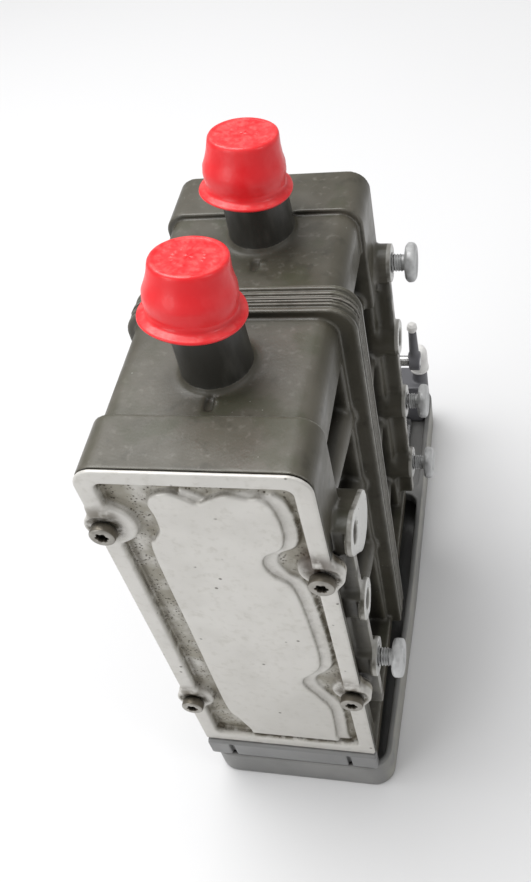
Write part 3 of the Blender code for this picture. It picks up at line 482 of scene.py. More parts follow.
def rod(start, end, radius, end_radius=None, r=0.5):
    """Round rod along the axis in which its two ends differ most, with rounded ends."""
    start, end = np.array(start, float), np.array(end, float)
    end_radius = radius if end_radius is None else end_radius
    run = end - start
    length = np.linalg.norm(run)
    run = run / length

    def distance(*point):
        away = [value - s for value, s in zip(point, start)]
        along = sum(a * d for a, d in zip(away, run))
        off = np.sqrt(np.maximum(sum(a * a for a in away) - along ** 2, 0))
        wide = off - (radius + (end_radius - radius) * np.clip(along / length, 0, 1)) + r
        deep = np.abs(along - length / 2) - length / 2 + r
        return rounded(wide, deep, r)
    reach = max(radius, end_radius)
    return distance, np.minimum(start, end) - reach, np.maximum(start, end) + reach


def plate(flat_shape, y0, y1, r=0.8):
    """Flat shape in X and Z, thick along Y, with rounded edges."""
    outline, box = flat_shape

    def distance(x, y, z):
        flat = outline(x, z) + r
        deep = np.abs(y - (y0 + y1) / 2) - abs(y1 - y0) / 2 + r
        return rounded(flat, deep, r)
    return distance, np.array([box[0], min(y0, y1), box[1]]), np.array([box[2], max(y0, y1), box[3]])


def door(left, right, low, high, top_r, foot_r=1.0):
    """Outline in X and Z with rounded top corners and near-square lower ones, and its box."""
    cx, cz = (left + right) / 2, (low + high) / 2

    def outline(x, z):
        r = np.where(z > cz, top_r, foot_r)
        dx = np.abs(x - cx) - (right - left) / 2 + r
        dz = np.abs(z - cz) - (high - low) / 2 + r
        return rounded(dx, dz, r)
    return outline, (left, low, right, high)


def curve_through(points, per=8):
    """Closed smooth line through points, as a Catmull-Rom curve."""
    points = np.array(points, float)
    before, after, beyond = np.roll(points, 1, 0), np.roll(points, -1, 0), np.roll(points, -2, 0)
    line = []
    for t in np.arange(per) / per:
        square = (2 * before - 5 * points + 4 * after - beyond) * t ** 2
        cube = (3 * points - before - 3 * after + beyond) * t ** 3
        line.append(0.5 * (2 * points + (after - before) * t + square + cube))
    return np.stack(line, 1).reshape(-1, 2)


def inside_line(line):
    """Signed distance in X and Z to a closed line of points."""
    def outline(x, z):
        x, z = np.broadcast_arrays(x, z)
        best = np.full(x.shape, 1e6)
        odd = np.zeros(x.shape, bool)
        for (ax, az), (bx, bz) in zip(line, np.roll(line, -1, 0)):
            ex, ez = bx - ax, bz - az
            t = np.clip(((x - ax) * ex + (z - az) * ez) / (ex * ex + ez * ez + 1e-12), 0, 1)
            best = np.minimum(best, (x - ax - t * ex) ** 2 + (z - az - t * ez) ** 2)
            crosses = (az > z) != (bz > z)
            odd ^= crosses & (x < ax + (z - az) / (ez if ez else 1e-12) * ex)
        return np.where(odd, -1, 1) * np.sqrt(best)
    return outline


class Solid:
    """Signed distances on a grid with uneven steps, in millimetres, negative inside the material."""

    def __init__(self, xs, ys, zs):
        self.lines = (xs, ys, zs)
        self.away = np.full((len(xs), len(ys), len(zs)), 50.0, np.float32)

    def window(self, low, high, reach):
        """The grid block around a shape, and its coordinates."""
        spans = [slice(max(np.searchsorted(line, a - reach) - 1, 0), np.searchsorted(line, b + reach) + 1)
                 for line, a, b in zip(self.lines, low, high)]
        x, y, z = (line[span] for line, span in zip(self.lines, spans))
        return tuple(spans), (x[:, None, None], y[None, :, None], z[None, None, :])

    def add(self, shape, blend=1.5):
        """Joins a shape on, with a fillet of about blend."""
        distance, low, high = shape
        spans, point = self.window(low, high, blend + 4)
        here, new = self.away[spans], distance(*point)
        mix = np.maximum(blend - np.abs(here - new), 0) / max(blend, 1e-6)
        self.away[spans] = np.minimum(here, new) - mix * mix * blend / 4

    def cut(self, shape, blend=1.0):
        """Cuts a shape away, rounding the edges by about blend."""
        distance, low, high = shape
        spans, point = self.window(low, high, blend + 4)
        here, new = self.away[spans], -distance(*point)
        mix = np.maximum(blend - np.abs(here - new), 0) / max(blend, 1e-6)
        self.away[spans] = np.maximum(here, new) + mix * mix * blend / 4

    def join(self, other):
        """Joins another solid of the same grid on, with no fillet."""
        self.away = np.minimum(self.away, other.away)

    def surface(self):
        """Points and quads of the zero surface: one point in each grid cell that it crosses."""
        away, inside = self.away, self.away < 0
        count = np.zeros(tuple(n - 1 for n in away.shape), np.int8)
        corner_spans = [slice(None, -1), slice(1, None)]
        for i in (0, 1):
            for j in (0, 1):
                for k in (0, 1):
                    count += inside[corner_spans[i], corner_spans[j], corner_spans[k]]
        mixed = (count > 0) & (count < 8)
        cells = np.argwhere(mixed)
        index = np.full(mixed.shape, -1, np.int64)
        index[mixed] = np.arange(len(cells))
        total, hits = np.zeros((len(cells), 3)), np.zeros(len(cells))
        for along in range(3):
            others = [a for a in range(3) if a != along]
            for p in (0, 1):
                for q in (0, 1):
                    start = cells.copy()
                    start[:, others[0]] += p
                    start[:, others[1]] += q
                    end = start.copy()
                    end[:, along] += 1
                    a, b = away[tuple(start.T)], away[tuple(end.T)]
                    cross = (a < 0) != (b < 0)
                    share = np.where(cross, a / np.where(cross, a - b, 1), 0)
                    spot = np.stack([line[ids] for line, ids in zip(self.lines, start.T)], 1).astype(float)
                    line = self.lines[along]
                    spot[:, along] += share * (line[end[:, along]] - line[start[:, along]])
                    total[cross] += spot[cross]
                    hits += cross
        points = total / hits[:, None]
        faces = []
        for along in range(3):
            b, c = (along + 1) % 3, (along + 2) % 3
            low = np.moveaxis(inside, (along, b, c), (0, 1, 2))
            ids = np.moveaxis(index, (along, b, c), (0, 1, 2))
            first, second = low[:-1, 1:-1, 1:-1], low[1:, 1:-1, 1:-1]
            quads = np.stack([ids[:, :-1, :-1], ids[:, 1:, :-1], ids[:, 1:, 1:], ids[:, :-1, 1:]], -1)
            faces.append(quads[first & ~second])
            faces.append(quads[~first & second][:, ::-1])
        return points, np.concatenate(faces)


# ---------------------------------------------------------------- pieces

def piece(name, points, faces, finish, body="casing", sharp=None, replaced=()):
    """A mesh from points in millimetres, smooth-shaded, riding on a body."""
    mesh = bpy.data.meshes.new(name)
    mesh.from_pydata((np.asarray(points) * MM).tolist(), [], [list(map(int, face)) for face in faces])
    mesh.shade_smooth()
    if sharp:
        mesh.set_sharp_from_angle(angle=math.radians(sharp))
    mesh.materials.append(FINISH[finish])
    obj = bpy.data.objects.new(name, mesh)
    bpy.context.scene.collection.objects.link(obj)
    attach(obj, body)
    if replaced:
        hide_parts(*replaced)
    return obj


def cast(name, solid, finish, replaced=(), body="casing"):
    points, faces = solid.surface()
    return piece(name, points, faces, finish, body, replaced=replaced)


def rings_mesh(rings, sides, closed=False):
    """Points and faces of stacked rings of (height, radius); either may be a function of the angle."""
    angle = np.arange(sides) * 2 * math.pi / sides
    rows = []
    for height, radius in rings:
        h = height(angle) if callable(height) else np.full(sides, float(height))
        r = radius(angle) if callable(radius) else np.full(sides, float(radius))
        rows.append(np.stack([r * np.cos(angle), r * np.sin(angle), h], 1))
    points = np.concatenate(rows)
    faces = []
    pairs = range(len(rows)) if closed else range(len(rows) - 1)
    for row in pairs:
        a, b = row * sides, ((row + 1) % len(rows)) * sides
        for s in range(sides):
            t = (s + 1) % sides
            faces.append((a + s, a + t, b + t, b + s))
    if not closed:
        for row, flip in ((0, True), (len(rows) - 1, False)):
            ring = [row * sides + s for s in range(sides)]
            points = np.concatenate([points, points[ring].mean(0, keepdims=True)])
            hub = len(points) - 1
            for s in range(sides):
                pair = (ring[s], ring[(s + 1) % sides])
                faces.append((pair[1], pair[0], hub) if flip else (*pair, hub))
    return points, faces


def outward(obj):
    made = bmesh.new()
    made.from_mesh(obj.data)
    bmesh.ops.remove_doubles(made, verts=made.verts, dist=1e-7)
    bmesh.ops.recalc_face_normals(made, faces=made.faces)
    made.to_mesh(obj.data)
    made.free()
    return obj


def turned(name, rings, place, axis, finish, body="casing", sides=64, closed=False, sharp=35,
           replaced=()):
    """A turned piece whose rings stack up along axis from place."""
    points, faces = rings_mesh(rings, sides, closed)
    turn = np.array(Vector(axis).to_track_quat("Z", "Y").to_matrix())
    points = points @ turn.T + np.array(place, float)
    return outward(piece(name, points, faces, finish, body, sharp, replaced))


# ---------------------------------------------------------------- casing halves

def casing_solid(tag):
    """One casing half as signed distances, with fillets where its features meet."""
    half = HALVES[tag]
    side, face, boss_y = half["side"], half["face"], half["boss_y"]
    joint = side * JOINT_Y
    outer_end = FRONT_Y if side < 0 else face
    collar_y = outer_end - side * COLLAR
    main = HALF_W - INSET
    y_low, y_high = sorted((face, joint))
    near_band = sorted((joint, side * (BAND + 2)))
    xs = steps(BAND_LEFT - 3, PAD_X + 2.4, 1.1, [(27, 52, 0.8), (BAND_LEFT - 1, -38, 0.7), (38, 44, 0.7)])
    rim = (FRONT_Y, face + 2, 0.45) if side < 0 else (face - 2, face + 2, 0.45)
    finer = [(*near_band, 0.45), (boss_y - 4, boss_y + 4, 0.8), rim, (collar_y - 1.5, collar_y + 1.5, 0.5)]
    ys = steps(min(y_low, FOOT_Y) - 2, y_high + 2, 1.05, finer)
    zs = steps(min(FOOT_Z, FOOT_LOW) - 2, BAND_TOP + 3, 1.15,
               [(22, 40, 0.8), (SKIRT_Z - 4, SKIRT_Z + 3, 0.7), (236, 253, 0.7)])
    solid = Solid(xs, ys, zs)
    solid.add(plate(door(-main, main, COVER_LOW - 3, MAIN_TOP, CORNER_R - 1), face, joint, 0.5), 0)
    y0, y1 = sorted((collar_y + side * 10, joint + side * (BAND + 2)))
    solid.cut(slab((SIDE_X, y0, 0), (80, y1, SKIRT_Z), 3), 1.6)
    collar = Solid(xs, ys, zs)
    lip = FRONT_Y + LIP + GAP if side < 0 else face
    collar.add(plate(door(-HALF_W, HALF_W, COVER_LOW - 2, COVER_HIGH, CORNER_R), lip, collar_y, 0.4), 0)
    if side < 0:
        room = LIP_WALL - GAP
        inside = door(-HALF_W + room, HALF_W - room, COVER_LOW - 9, COVER_HIGH - room, CORNER_R - room)
        collar.cut(plate(inside, FRONT_Y - 20, face, 0.1), 0.1)
        for x, z in cover_screws(tag):
            collar.cut(rod((x, FRONT_Y - 9, z), (x, face, z), LOBE_RELIEF_R, r=0.1), 0.2)
    y0, y1 = sorted((collar_y - side * 6, outer_end - side * FLANGE))
    collar.cut(slab((SIDE_X + 0.4, y0, 0), (80, y1, 192), 2.5), 1.2)
    solid.join(collar)
    add_band(solid, side, joint, main)
    y0, y1 = sorted((outer_end - side * 2, joint - side * 3))
    solid.add(slab((-HALF_W + 1, y0, FOOT_Z), (HALF_W, y1, COVER_LOW - 0.3), 0.8), 1.2)
    if side < 0:
        flange_end = (HALF_W + 0.6, FOOT_Y + 4, COVER_LOW - 0.35)
        solid.add(slab((-HALF_W + 0.6, FOOT_Y, FOOT_LOW), flange_end, 0.7), 0.8)
    add_bosses(solid, tag)
    if side < 0:
        # Clears the cover's room of fillets, and puts the collar's lip back
        solid.cut(slab((-60, FRONT_Y - 20, COVER_LOW - 0.2), (46.8, face - 0.1, 300), 0.05), 0.05)
        solid.join(collar)
    hollow_out(solid, tag, main, joint)
    cut_joint_face(solid, side, joint)
    return solid


def add_band(solid, side, joint, main):
    """The raised seam band, with the grooves between its ridges."""
    edge = BAND_TOP - MAIN_TOP
    band = door(-main - edge, BAND_RIGHT, BAND_FOOT, BAND_TOP, CORNER_R + 2)
    solid.add(plate(band, joint - side * 3, side * BAND, 0.6), 1.0)
    shallow = door(-main - edge + 1.0, BAND_RIGHT - 1.0, BAND_FOOT - 9, BAND_TOP - 1.0, CORNER_R + 1)
    outline = shallow[0]
    for y, width in ((side * 4.3, 0.8), (side * 1.9, 0.35)):
        def around(x, z):
            return np.abs(outline(x, z) - 0.9) - 0.9
        box = (-main - 12, BAND_FOOT - 12, BAND_RIGHT + 4, BAND_TOP + 4)
        solid.cut(plate((around, box), y - width, y + width, 0.2), 0.5)


def add_bosses(solid, tag):
    """Mounting bosses, their ribs and web, and the pillars behind the cover screws."""
    half = HALVES[tag]
    side, face, boss_y, levels = half["side"], half["face"], half["boss_y"], half["levels"]
    web_low = levels[-1] - (24 if side > 0 else 40)
    solid.add(slab((SIDE_X - 2.4, boss_y - 2.5, web_low), (PAD_X - 1.6, boss_y + 2.5, levels[0]), 1.0), 2.5)
    for level in levels:
        rib = rod((SIDE_X, boss_y - side * 2, level - 9), (SIDE_X + 4, side * 5, level - 9), 7)
        solid.add(rib, 2.0)
        solid.add(rod((SIDE_X - 2, boss_y, level), (PAD_X, boss_y, level), BOSS_R + 0.4, BOSS_R, 0.35), 2.5)
    if side < 0:
        for share in np.linspace(0, 1, 5):
            y, z, r = (a + (b - a) * share for a, b in zip((boss_y, levels[0], BOSS_R), SIDE_PAD))
            solid.add(rod((SIDE_X - 2.2, y, z), (PAD_X, y, z), r, r=0.35), 1.5 if share == 1 else 0.6)
    for x, z in cover_screws(tag):
        solid.add(rod((x, face, z), (x, face - side * 14, z), 6, 5.2), 2.0)
    for level in levels:
        solid.cut(rod((BOSS_HOLE_X, boss_y, level), (PAD_X + 9, boss_y, level), BOSS_HOLE_R, r=0.2), 0.5)


SIDE_PAD = (-57.0, 188.7, 11.5)
GATES = {"front": 21.3, "rear": 23.6}  # how far in front of a spigot the casting's gate mark lies
FOOT_SLOTS = (-29.5, 29.0)


def cover_screws(tag):
    """(x, z) of the screws of one end cover."""
    return [middle(f"{tag}_cover_screw_{index}")[[0, 2]] for index in range(1, 5)]


def hollow_out(solid, tag, main, joint):
    """Cuts the cavity, screw holes, port, window, wire slot and the small marks left by casting."""
    half = HALVES[tag]
    side, face = half["side"], half["face"]
    depth = face - side * 5 if side > 0 else face - 6
    y0, y1 = sorted((depth, joint - side * 5))
    solid.cut(slab((-main + WALL, y0, COVER_LOW + WALL), (SIDE_X - WALL, y1, MAIN_TOP - WALL), 1.5), 0.8)
    for x, z in cover_screws(tag):
        solid.add(rod((x, face, z), (x, face - side * 14, z), 5.6), 1.0)
        solid.cut(rod((x, face + side * 5, z), (x, face - side * 12, z), SCREW_HOLE_R, r=0.2), 0.4)
    if side > 0:
        solid.cut(slab((-26, face - 9, 56), (24, face + 9, 226), 2), 0.8)
    y0, y1 = sorted((0, side * 50))
    solid.cut(slab((-20, y0, 0), (10, y1, COVER_LOW + WALL + 1), 1.5), 0.8)
    px, py, _ = PORTS[tag]
    solid.add(rod((px, py, MAIN_TOP - WALL), (px, py, MAIN_TOP + 3), SPIGOT_R + 0.3), 3.5)
    solid.cut(rod((px, py, MAIN_TOP - 9), (px, py, MAIN_TOP + 9), SPIGOT_R - 2), 0.2)
    gate = GATES[tag]
    notch = slab((px - 1.0, py - gate, MAIN_TOP - 1.3), (px + 2.2, py - gate + 6.5, MAIN_TOP + 5), 0.8)
    solid.cut(notch, 0.9)
    x, y = px + 3.6, py - gate + 4.6
    solid.add(rod((x, y, MAIN_TOP - 1), (x, y, MAIN_TOP + 0.5), 1.4), 1.0)
    y0, y1 = sorted((face + side * 1, py - gate - 2)) if side < 0 else sorted((py + 18, face - 2))
    solid.add(slab((-0.9, y0, MAIN_TOP - 1), (-0.3, y1, MAIN_TOP + 0.22), 0.1), 0.5)
    if side < 0:
        solid.add(slab((-0.9, y0, COVER_HIGH - 1), (-0.3, -COLLAR + face + 20, COVER_HIGH + 0.22), 0.1), 0.5)
        for x in FOOT_SLOTS:
            slot_end = (x + 0.9, FOOT_Y + 2.4, COVER_LOW - 1.5)
            solid.cut(slab((x - 0.9, FOOT_Y - 4, FOOT_LOW - 9), slot_end, 0.4), 0.4)


def cut_joint_face(solid, side, joint):
    y0, y1 = sorted((joint, -side * 20))
    solid.cut(slab((-90, y0, -20), (90, y1, 320), 0.0), 0.0)


def spigot(tag):
    """Near-black port spigot, slightly tapered, with a rounded rim and a flared root."""
    px, py, _ = PORTS[tag]
    root = MAIN_TOP
    outer = [(root - 2, SPIGOT_R + 1.2), (root + 0.6, SPIGOT_R + 1.0), (root + 1.6, SPIGOT_R + 0.45),
             (root + 4, SPIGOT_R + 0.15), (root + 14, SPIGOT_R), (PORT_TOP - 2, SPIGOT_R - 0.2),
             (PORT_TOP - 0.7, SPIGOT_R - 0.7), (PORT_TOP - 0.1, SPIGOT_R - 1.5)]
    inner = [(PORT_TOP, 10.6), (PORT_TOP - 0.3, 9.8), (PORT_TOP - 1, 9.5), (root - 2, 9.5)]
    return turned(f"{tag}_spigot", outer + inner, (px, py, 0), (0, 0, 1), "spigot", closed=True)


# ---------------------------------------------------------------- end covers

PANEL = [(-16, 2), (-16.8, 12), (-20.5, 24), (-24.2, 38), (-24.4, 100), (-24.4, 163), (-21.5, 172),
         (-18.2, 178),
         (-17.6, 187), (-18.4, 194), (-15.5, 199), (-9.6, 200.8), (-4.5, 198.2), (-0.2, 195.4), (4.2, 197.4),
         (11.0, 200.4), (18, 199), (22.6, 199.2), (26.2, 193), (27.4, 180), (25, 170), (18.4, 165),
         (16.6, 159),
         (19, 152), (25.4, 143), (27.6, 108), (27.2, 86), (23.5, 77), (18.2, 71), (17.4, 64), (21.5, 55),
         (25.6, 45), (26, 32), (25, 14), (24.6, 2)]
PANEL_DEPTH = 0.8
POCKET_DEPTH = 4.3
RIM = 7.2
LIP = 1.7  # the cover's rim in front of the casing's lip
LIP_WALL = 1.8  # the lip's thickness, with its gap
TERRACE = 5.0  # a lower step along the panel's right side
TERRACE_DEPTH = 2.7
LOBES = (12.6, 9.8, 10.0, 9.6)  # the radius of each screw's lobe
LOBE_RELIEF_R = 8.4
COUNTERBORE_R = 6.1


def front_cover():
    """Cast cover: a rim round a channel, with a raised curvy panel, screw lobes and counterbores."""
    inner = FRONT_HIGH[1]
    box = door(-HALF_W, HALF_W, COVER_LOW, COVER_HIGH, CORNER_R, 1.2)
    xs = steps(FRONT_LOW[0] - 1.5, FRONT_HIGH[0] + 1.5, 0.6)
    zs = steps(COVER_LOW - 1.5, COVER_HIGH + 1.5, 0.72, [(176, 246, 0.6)])
    solid = Solid(xs, steps(FRONT_Y - 1.5, inner + 1.2, 0.42), zs)
    solid.add(plate(box, FRONT_Y, FRONT_Y + LIP, 0.8), 0)
    solid.add(plate(door(-HALF_W + LIP_WALL, HALF_W - LIP_WALL, COVER_LOW, COVER_HIGH - LIP_WALL,
                         CORNER_R - LIP_WALL, 1.2), FRONT_Y + 0.5, inner, 0.3), 0)
    for x, z in cover_screws("front"):
        solid.add(rod((x, FRONT_Y, z), (x, inner, z), 8, r=0.8), 3.0)
    hollow = door(-HALF_W + RIM, HALF_W - RIM, COVER_LOW + RIM, COVER_HIGH - RIM, 3.5, 3.0)
    solid.cut(plate(hollow, FRONT_Y - 6, FRONT_Y + POCKET_DEPTH, 0.8), 1.6)
    line = curve_through(PANEL) + np.array([0, COVER_LOW])
    shape = (inside_line(line), (-30, COVER_LOW, 32, COVER_HIGH))
    keep = Solid(xs, solid.lines[1], zs)
    keep.add(plate(shape, FRONT_Y + PANEL_DEPTH, inner, 1.1), 0)
    aside = (inside_line(line + np.array([TERRACE, 0])), (0, COVER_LOW, 36, COVER_HIGH))
    keep.add(plate(aside, FRONT_Y + TERRACE_DEPTH, inner, 0.9), 1.2)
    limit = door(-HALF_W + RIM + 1.4, HALF_W - RIM - 1.2,
                 COVER_LOW + RIM + 2.2, COVER_HIGH - RIM - 1.4, 4, 3)
    spans, point = keep.window((-50, FRONT_Y, COVER_LOW), (50, inner, COVER_HIGH), 3)
    keep.away[spans] = np.maximum(keep.away[spans], limit[0](point[0], point[2]))
    blend = 2.4
    mix = np.maximum(blend - np.abs(solid.away - keep.away), 0) / blend
    solid.away = np.minimum(solid.away, keep.away) - mix * mix * blend / 4
    for (x, z), reach in zip(cover_screws("front"), LOBES):
        top = 0.5 if x < 0 else 1.6
        inward = np.sign(-x)
        lx, lz = x + inward * 0.4, z + 1
        lobe = rod((lx, FRONT_Y + top, lz), (lx, inner, lz), reach - 1.2, reach, 1.0)
        solid.add(clipped(lobe, box), 1.8)
        mouth = z + (0.4 if x < 0 else 1.2)
        solid.cut(rod((x, FRONT_Y - 8, mouth), (x, FRONT_Y + 0.35, z + 0.8), COUNTERBORE_R, r=0.3), 0.7)
        solid.cut(rod((x, FRONT_Y - 9, z), (x, inner + 5, z), SCREW_HOLE_R, r=0.2), 0.3)
    return cast("front_cover_casting", solid, "front_cover", ["front_cover"])


def front_gasket():
    """Gasket behind the front cover, kept inside the casing's lip."""
    y0, y1 = corners("front_cover_gasket")[0][1], corners("front_cover_gasket")[1][1]
    solid = Solid(steps(-HALF_W - 8, HALF_W + 8, 0.8), steps(y0 - 1, y1 + 1, 0.3),
                  steps(COVER_LOW - 2, COVER_HIGH + 1, 0.9))
    room = LIP_WALL
    solid.add(plate(door(-HALF_W + room, HALF_W - room, COVER_LOW, COVER_HIGH - room, CORNER_R - room, 1.2),
                    y0, y1, 0.2), 0)
    for x, z in cover_screws("front"):
        solid.add(rod((x, y0, z), (x, y1, z), 7.4, r=0.2), 1.5)
    solid.cut(plate(door(-HALF_W + RIM, HALF_W - RIM, COVER_LOW + RIM, COVER_HIGH - RIM, 3, 3),
                    y0 - 5, y1 + 5, 0.2), 0.3)
    for x, z in cover_screws("front"):
        solid.cut(rod((x, y0 - 5, z), (x, y1 + 5, z), 3.4, r=0.2), 0.2)
    return cast("front_gasket_sheet", solid, "fibre", ["front_cover_gasket"])


def clipped(shape, outline_box):
    """A shape kept inside a flat outline."""
    distance, low, high = shape
    outline = outline_box[0]

    def kept(x, y, z):
        return np.maximum(distance(x, y, z), outline(x, z) + 0.2)
    return kept, low, high


def rear_cover():
    """Rear cover: rim, shallow pocket, raised pad and the holes of the tube, spool tail and adjuster."""
    outer, inner = REAR_HIGH[1], REAR_LOW[1]
    screws = cover_screws("rear")
    low, high = REAR_LOW[2], REAR_HIGH[2]
    xs = steps(REAR_LOW[0] - 1.5, REAR_HIGH[0] + 1.5, 0.75)
    solid = Solid(xs, steps(inner - 1.2, outer + 1.5, 0.5), steps(low - 1.5, high + 1.5, 0.85))
    solid.add(plate(door(-REAR_HALF_W, REAR_HALF_W, low, high, CORNER_R, CORNER_R), inner, outer, 0.9), 0)
    for x, z in screws:
        solid.add(rod((x, inner, z), (x, outer, z), 8, r=0.8), 3.0)
    hollow = door(-REAR_HALF_W + 6.5, REAR_HALF_W - 6.5, low + 6.5, high - 6.5, 4, 4)
    solid.cut(plate(hollow, outer - 3.6, outer + 6, 0.8), 1.4)
    bores = ((middle("core_tube")[2], 10.2, 15.5), (middle("relief_adjuster")[2], 6.4, 13),
             (middle("lower_spool")[2], 8.0, 14))
    for z, _, reach in bores:
        solid.add(rod((0, inner, z), (0, outer - 0.3, z), reach, r=0.8), 2.5)
    solid.add(slab((-6, inner, bores[2][0]), (6, outer - 1.4, bores[0][0]), 1.0), 2.0)
    for z in (70, 205):
        solid.add(slab((-24, inner, z - 2.5), (24, outer - 1.4, z + 2.5), 1.0), 2.0)
    for x, z in screws:
        lobe = rod((x, inner, z), (x, outer - 0.5, z), 9.5, r=1.0)
        solid.add(clipped(lobe, door(-REAR_HALF_W, REAR_HALF_W, low, high, CORNER_R, CORNER_R)), 1.8)
        solid.cut(rod((x, inner - 5, z), (x, outer + 9, z), SCREW_HOLE_R, r=0.2), 0.3)
    for z, bore, _ in bores:
        solid.cut(rod((0, inner - 5, z), (0, outer + 9, z), bore, r=0.3), 0.5)
    return cast("rear_cover_casting", solid, "rear_cover", ["rear_cover"])


# ---------------------------------------------------------------- fasteners

SCREW_HEAD = 4.2
BOLT_SHANK = 19.9
HEAD_SHORTER = 2.0  # the bolt heads' wear, against the CAD solid


def six_lobes(r, deep):
    """Radius round a six-lobe socket."""
    return lambda angle: r - deep * (0.5 - 0.5 * np.cos(6 * angle)) ** 1.5


def hexagon(across, limit=1e9):
    """Radius round a hexagon of a given size across its flats, no larger than limit."""
    def radius(angle):
        turn = np.mod(angle, math.pi / 3) - math.pi / 6
        return np.minimum(across / 2 / np.cos(turn), limit)
    return radius


def thread(r, depth, pitch, start, end, per_turn=6):
    """Rings of a helical thread from start to end."""
    rings = []
    for height in np.arange(start, end, pitch / per_turn):
        def radius(angle, height=height):
            wave = np.mod(height / pitch - angle / (2 * math.pi), 1.0)
            return r - depth * (1 - np.abs(2 * wave - 1))
        rings.append((height, radius))
    return rings


def cover_screw(tag, index):
    """Cylinder-head screw with a rounded rim and a six-lobe socket."""
    node = f"{tag}_cover_screw_{index}"
    low, high = corners(node)
    x, _, z = (low + high) / 2
    side = HALVES[tag]["side"]
    top, tip = (high[1], low[1]) if side > 0 else (low[1], high[1])
    head = SCREW_HEAD
    base = top - side * head
    length = abs(tip - base)
    rings = [(-length, 2.2), (-length + 0.7, 2.9), (-0.9, 2.9), (-0.3, 2.9), (0.0, 4.2), (0.25, 4.85),
             (0.5, 5.0),
             (head - 1.0, 5.0), (head - 0.45, 4.86), (head - 0.12, 4.5), (head, 4.0), (head, 3.0),
             (head - 0.12, six_lobes(2.75, 0.62)), (head - 0.5, six_lobes(2.55, 0.6)),
             (head - 2.4, six_lobes(2.5, 0.6)), (head - 2.6, 1.2)]
    return turned(f"{node}_torx", rings, (x, base, z), (0, side, 0), "screw", sides=72,
                  sharp=40,
                  replaced=[node])


def mounting_bolt(index):
    """Bolt with a thick, worn, almost round hexagon head and a rolled thread, part way into its boss."""
    node = f"mounting_bolt_{index}"
    low, high = corners(node)
    y, z = middle(node)[1], middle(node)[2]
    seat = low[0] + BOLT_SHANK
    tip, top = low[0] - seat, high[0] - seat - HEAD_SHORTER
    rings = [(tip, 2.6), (tip + 0.8, 3.7)]
    rings += thread(3.95, 0.62, 1.25, tip + 1.0, -1.2)
    rings += [(-0.9, 3.4), (0.0, 3.9), (0.05, 7.2), (0.5, 7.9), (1.3, hexagon(16.2, 8.7)),
              (top - 2.2, hexagon(16.2, 8.75)), (top - 1.1, hexagon(16.2, 8.45)),
              (top - 0.4, hexagon(16.0, 7.8)),
              (top, 6.9), (top, 6.2), (top - 0.25, 5.5), (top - 0.8, 4.8), (top - 0.9, 1.0)]
    return turned(f"{node}_head", rings, (seat, y, z), (1, 0, 0), "zinc", sides=72, sharp=38,
                  replaced=[node])


def hex_nut(name, node, across, bore):
    """Hexagon nut with chamfered corners and a bore, its axis along Y."""
    low, high = corners(node)
    x, _, z = middle(node)
    start, end = low[1], high[1]
    rim = across / 2 + 0.15
    rings = [(start, bore), (start, rim), (start + 0.8, hexagon(across, across * 0.57)),
             (start + 0.9, hexagon(across)),
             (end - 0.9, hexagon(across)), (end - 0.8, hexagon(across, across * 0.57)), (end, rim),
             (end, bore + 0.5),
             (end - 0.5, bore)]
    return turned(name, rings, (x, 0, z), (0, 1, 0), "zinc", sides=72, closed=True,
                  sharp=30, replaced=[node])


# ---------------------------------------------------------------- port caps

CAP_SIDES = 128

def cap_marks(angle, r):
    """Height of the raised generic marks on a cap's top: dashes in two rings and a small star."""
    outer = np.exp(-((r - 9.2) / 0.75) ** 2) * (np.cos(26 * angle + 3 * np.sin(3 * angle)) > 0.1)
    inner = np.exp(-((r - 5.4) / 0.7) ** 2) * (np.cos(15 * angle + 2 * np.sin(2 * angle)) > 0.0)
    star = np.exp(-(r / 2.6) ** 4) * (0.5 + 0.5 * np.cos(5 * angle))
    return 0.24 * np.maximum(np.maximum(outer, inner), star)


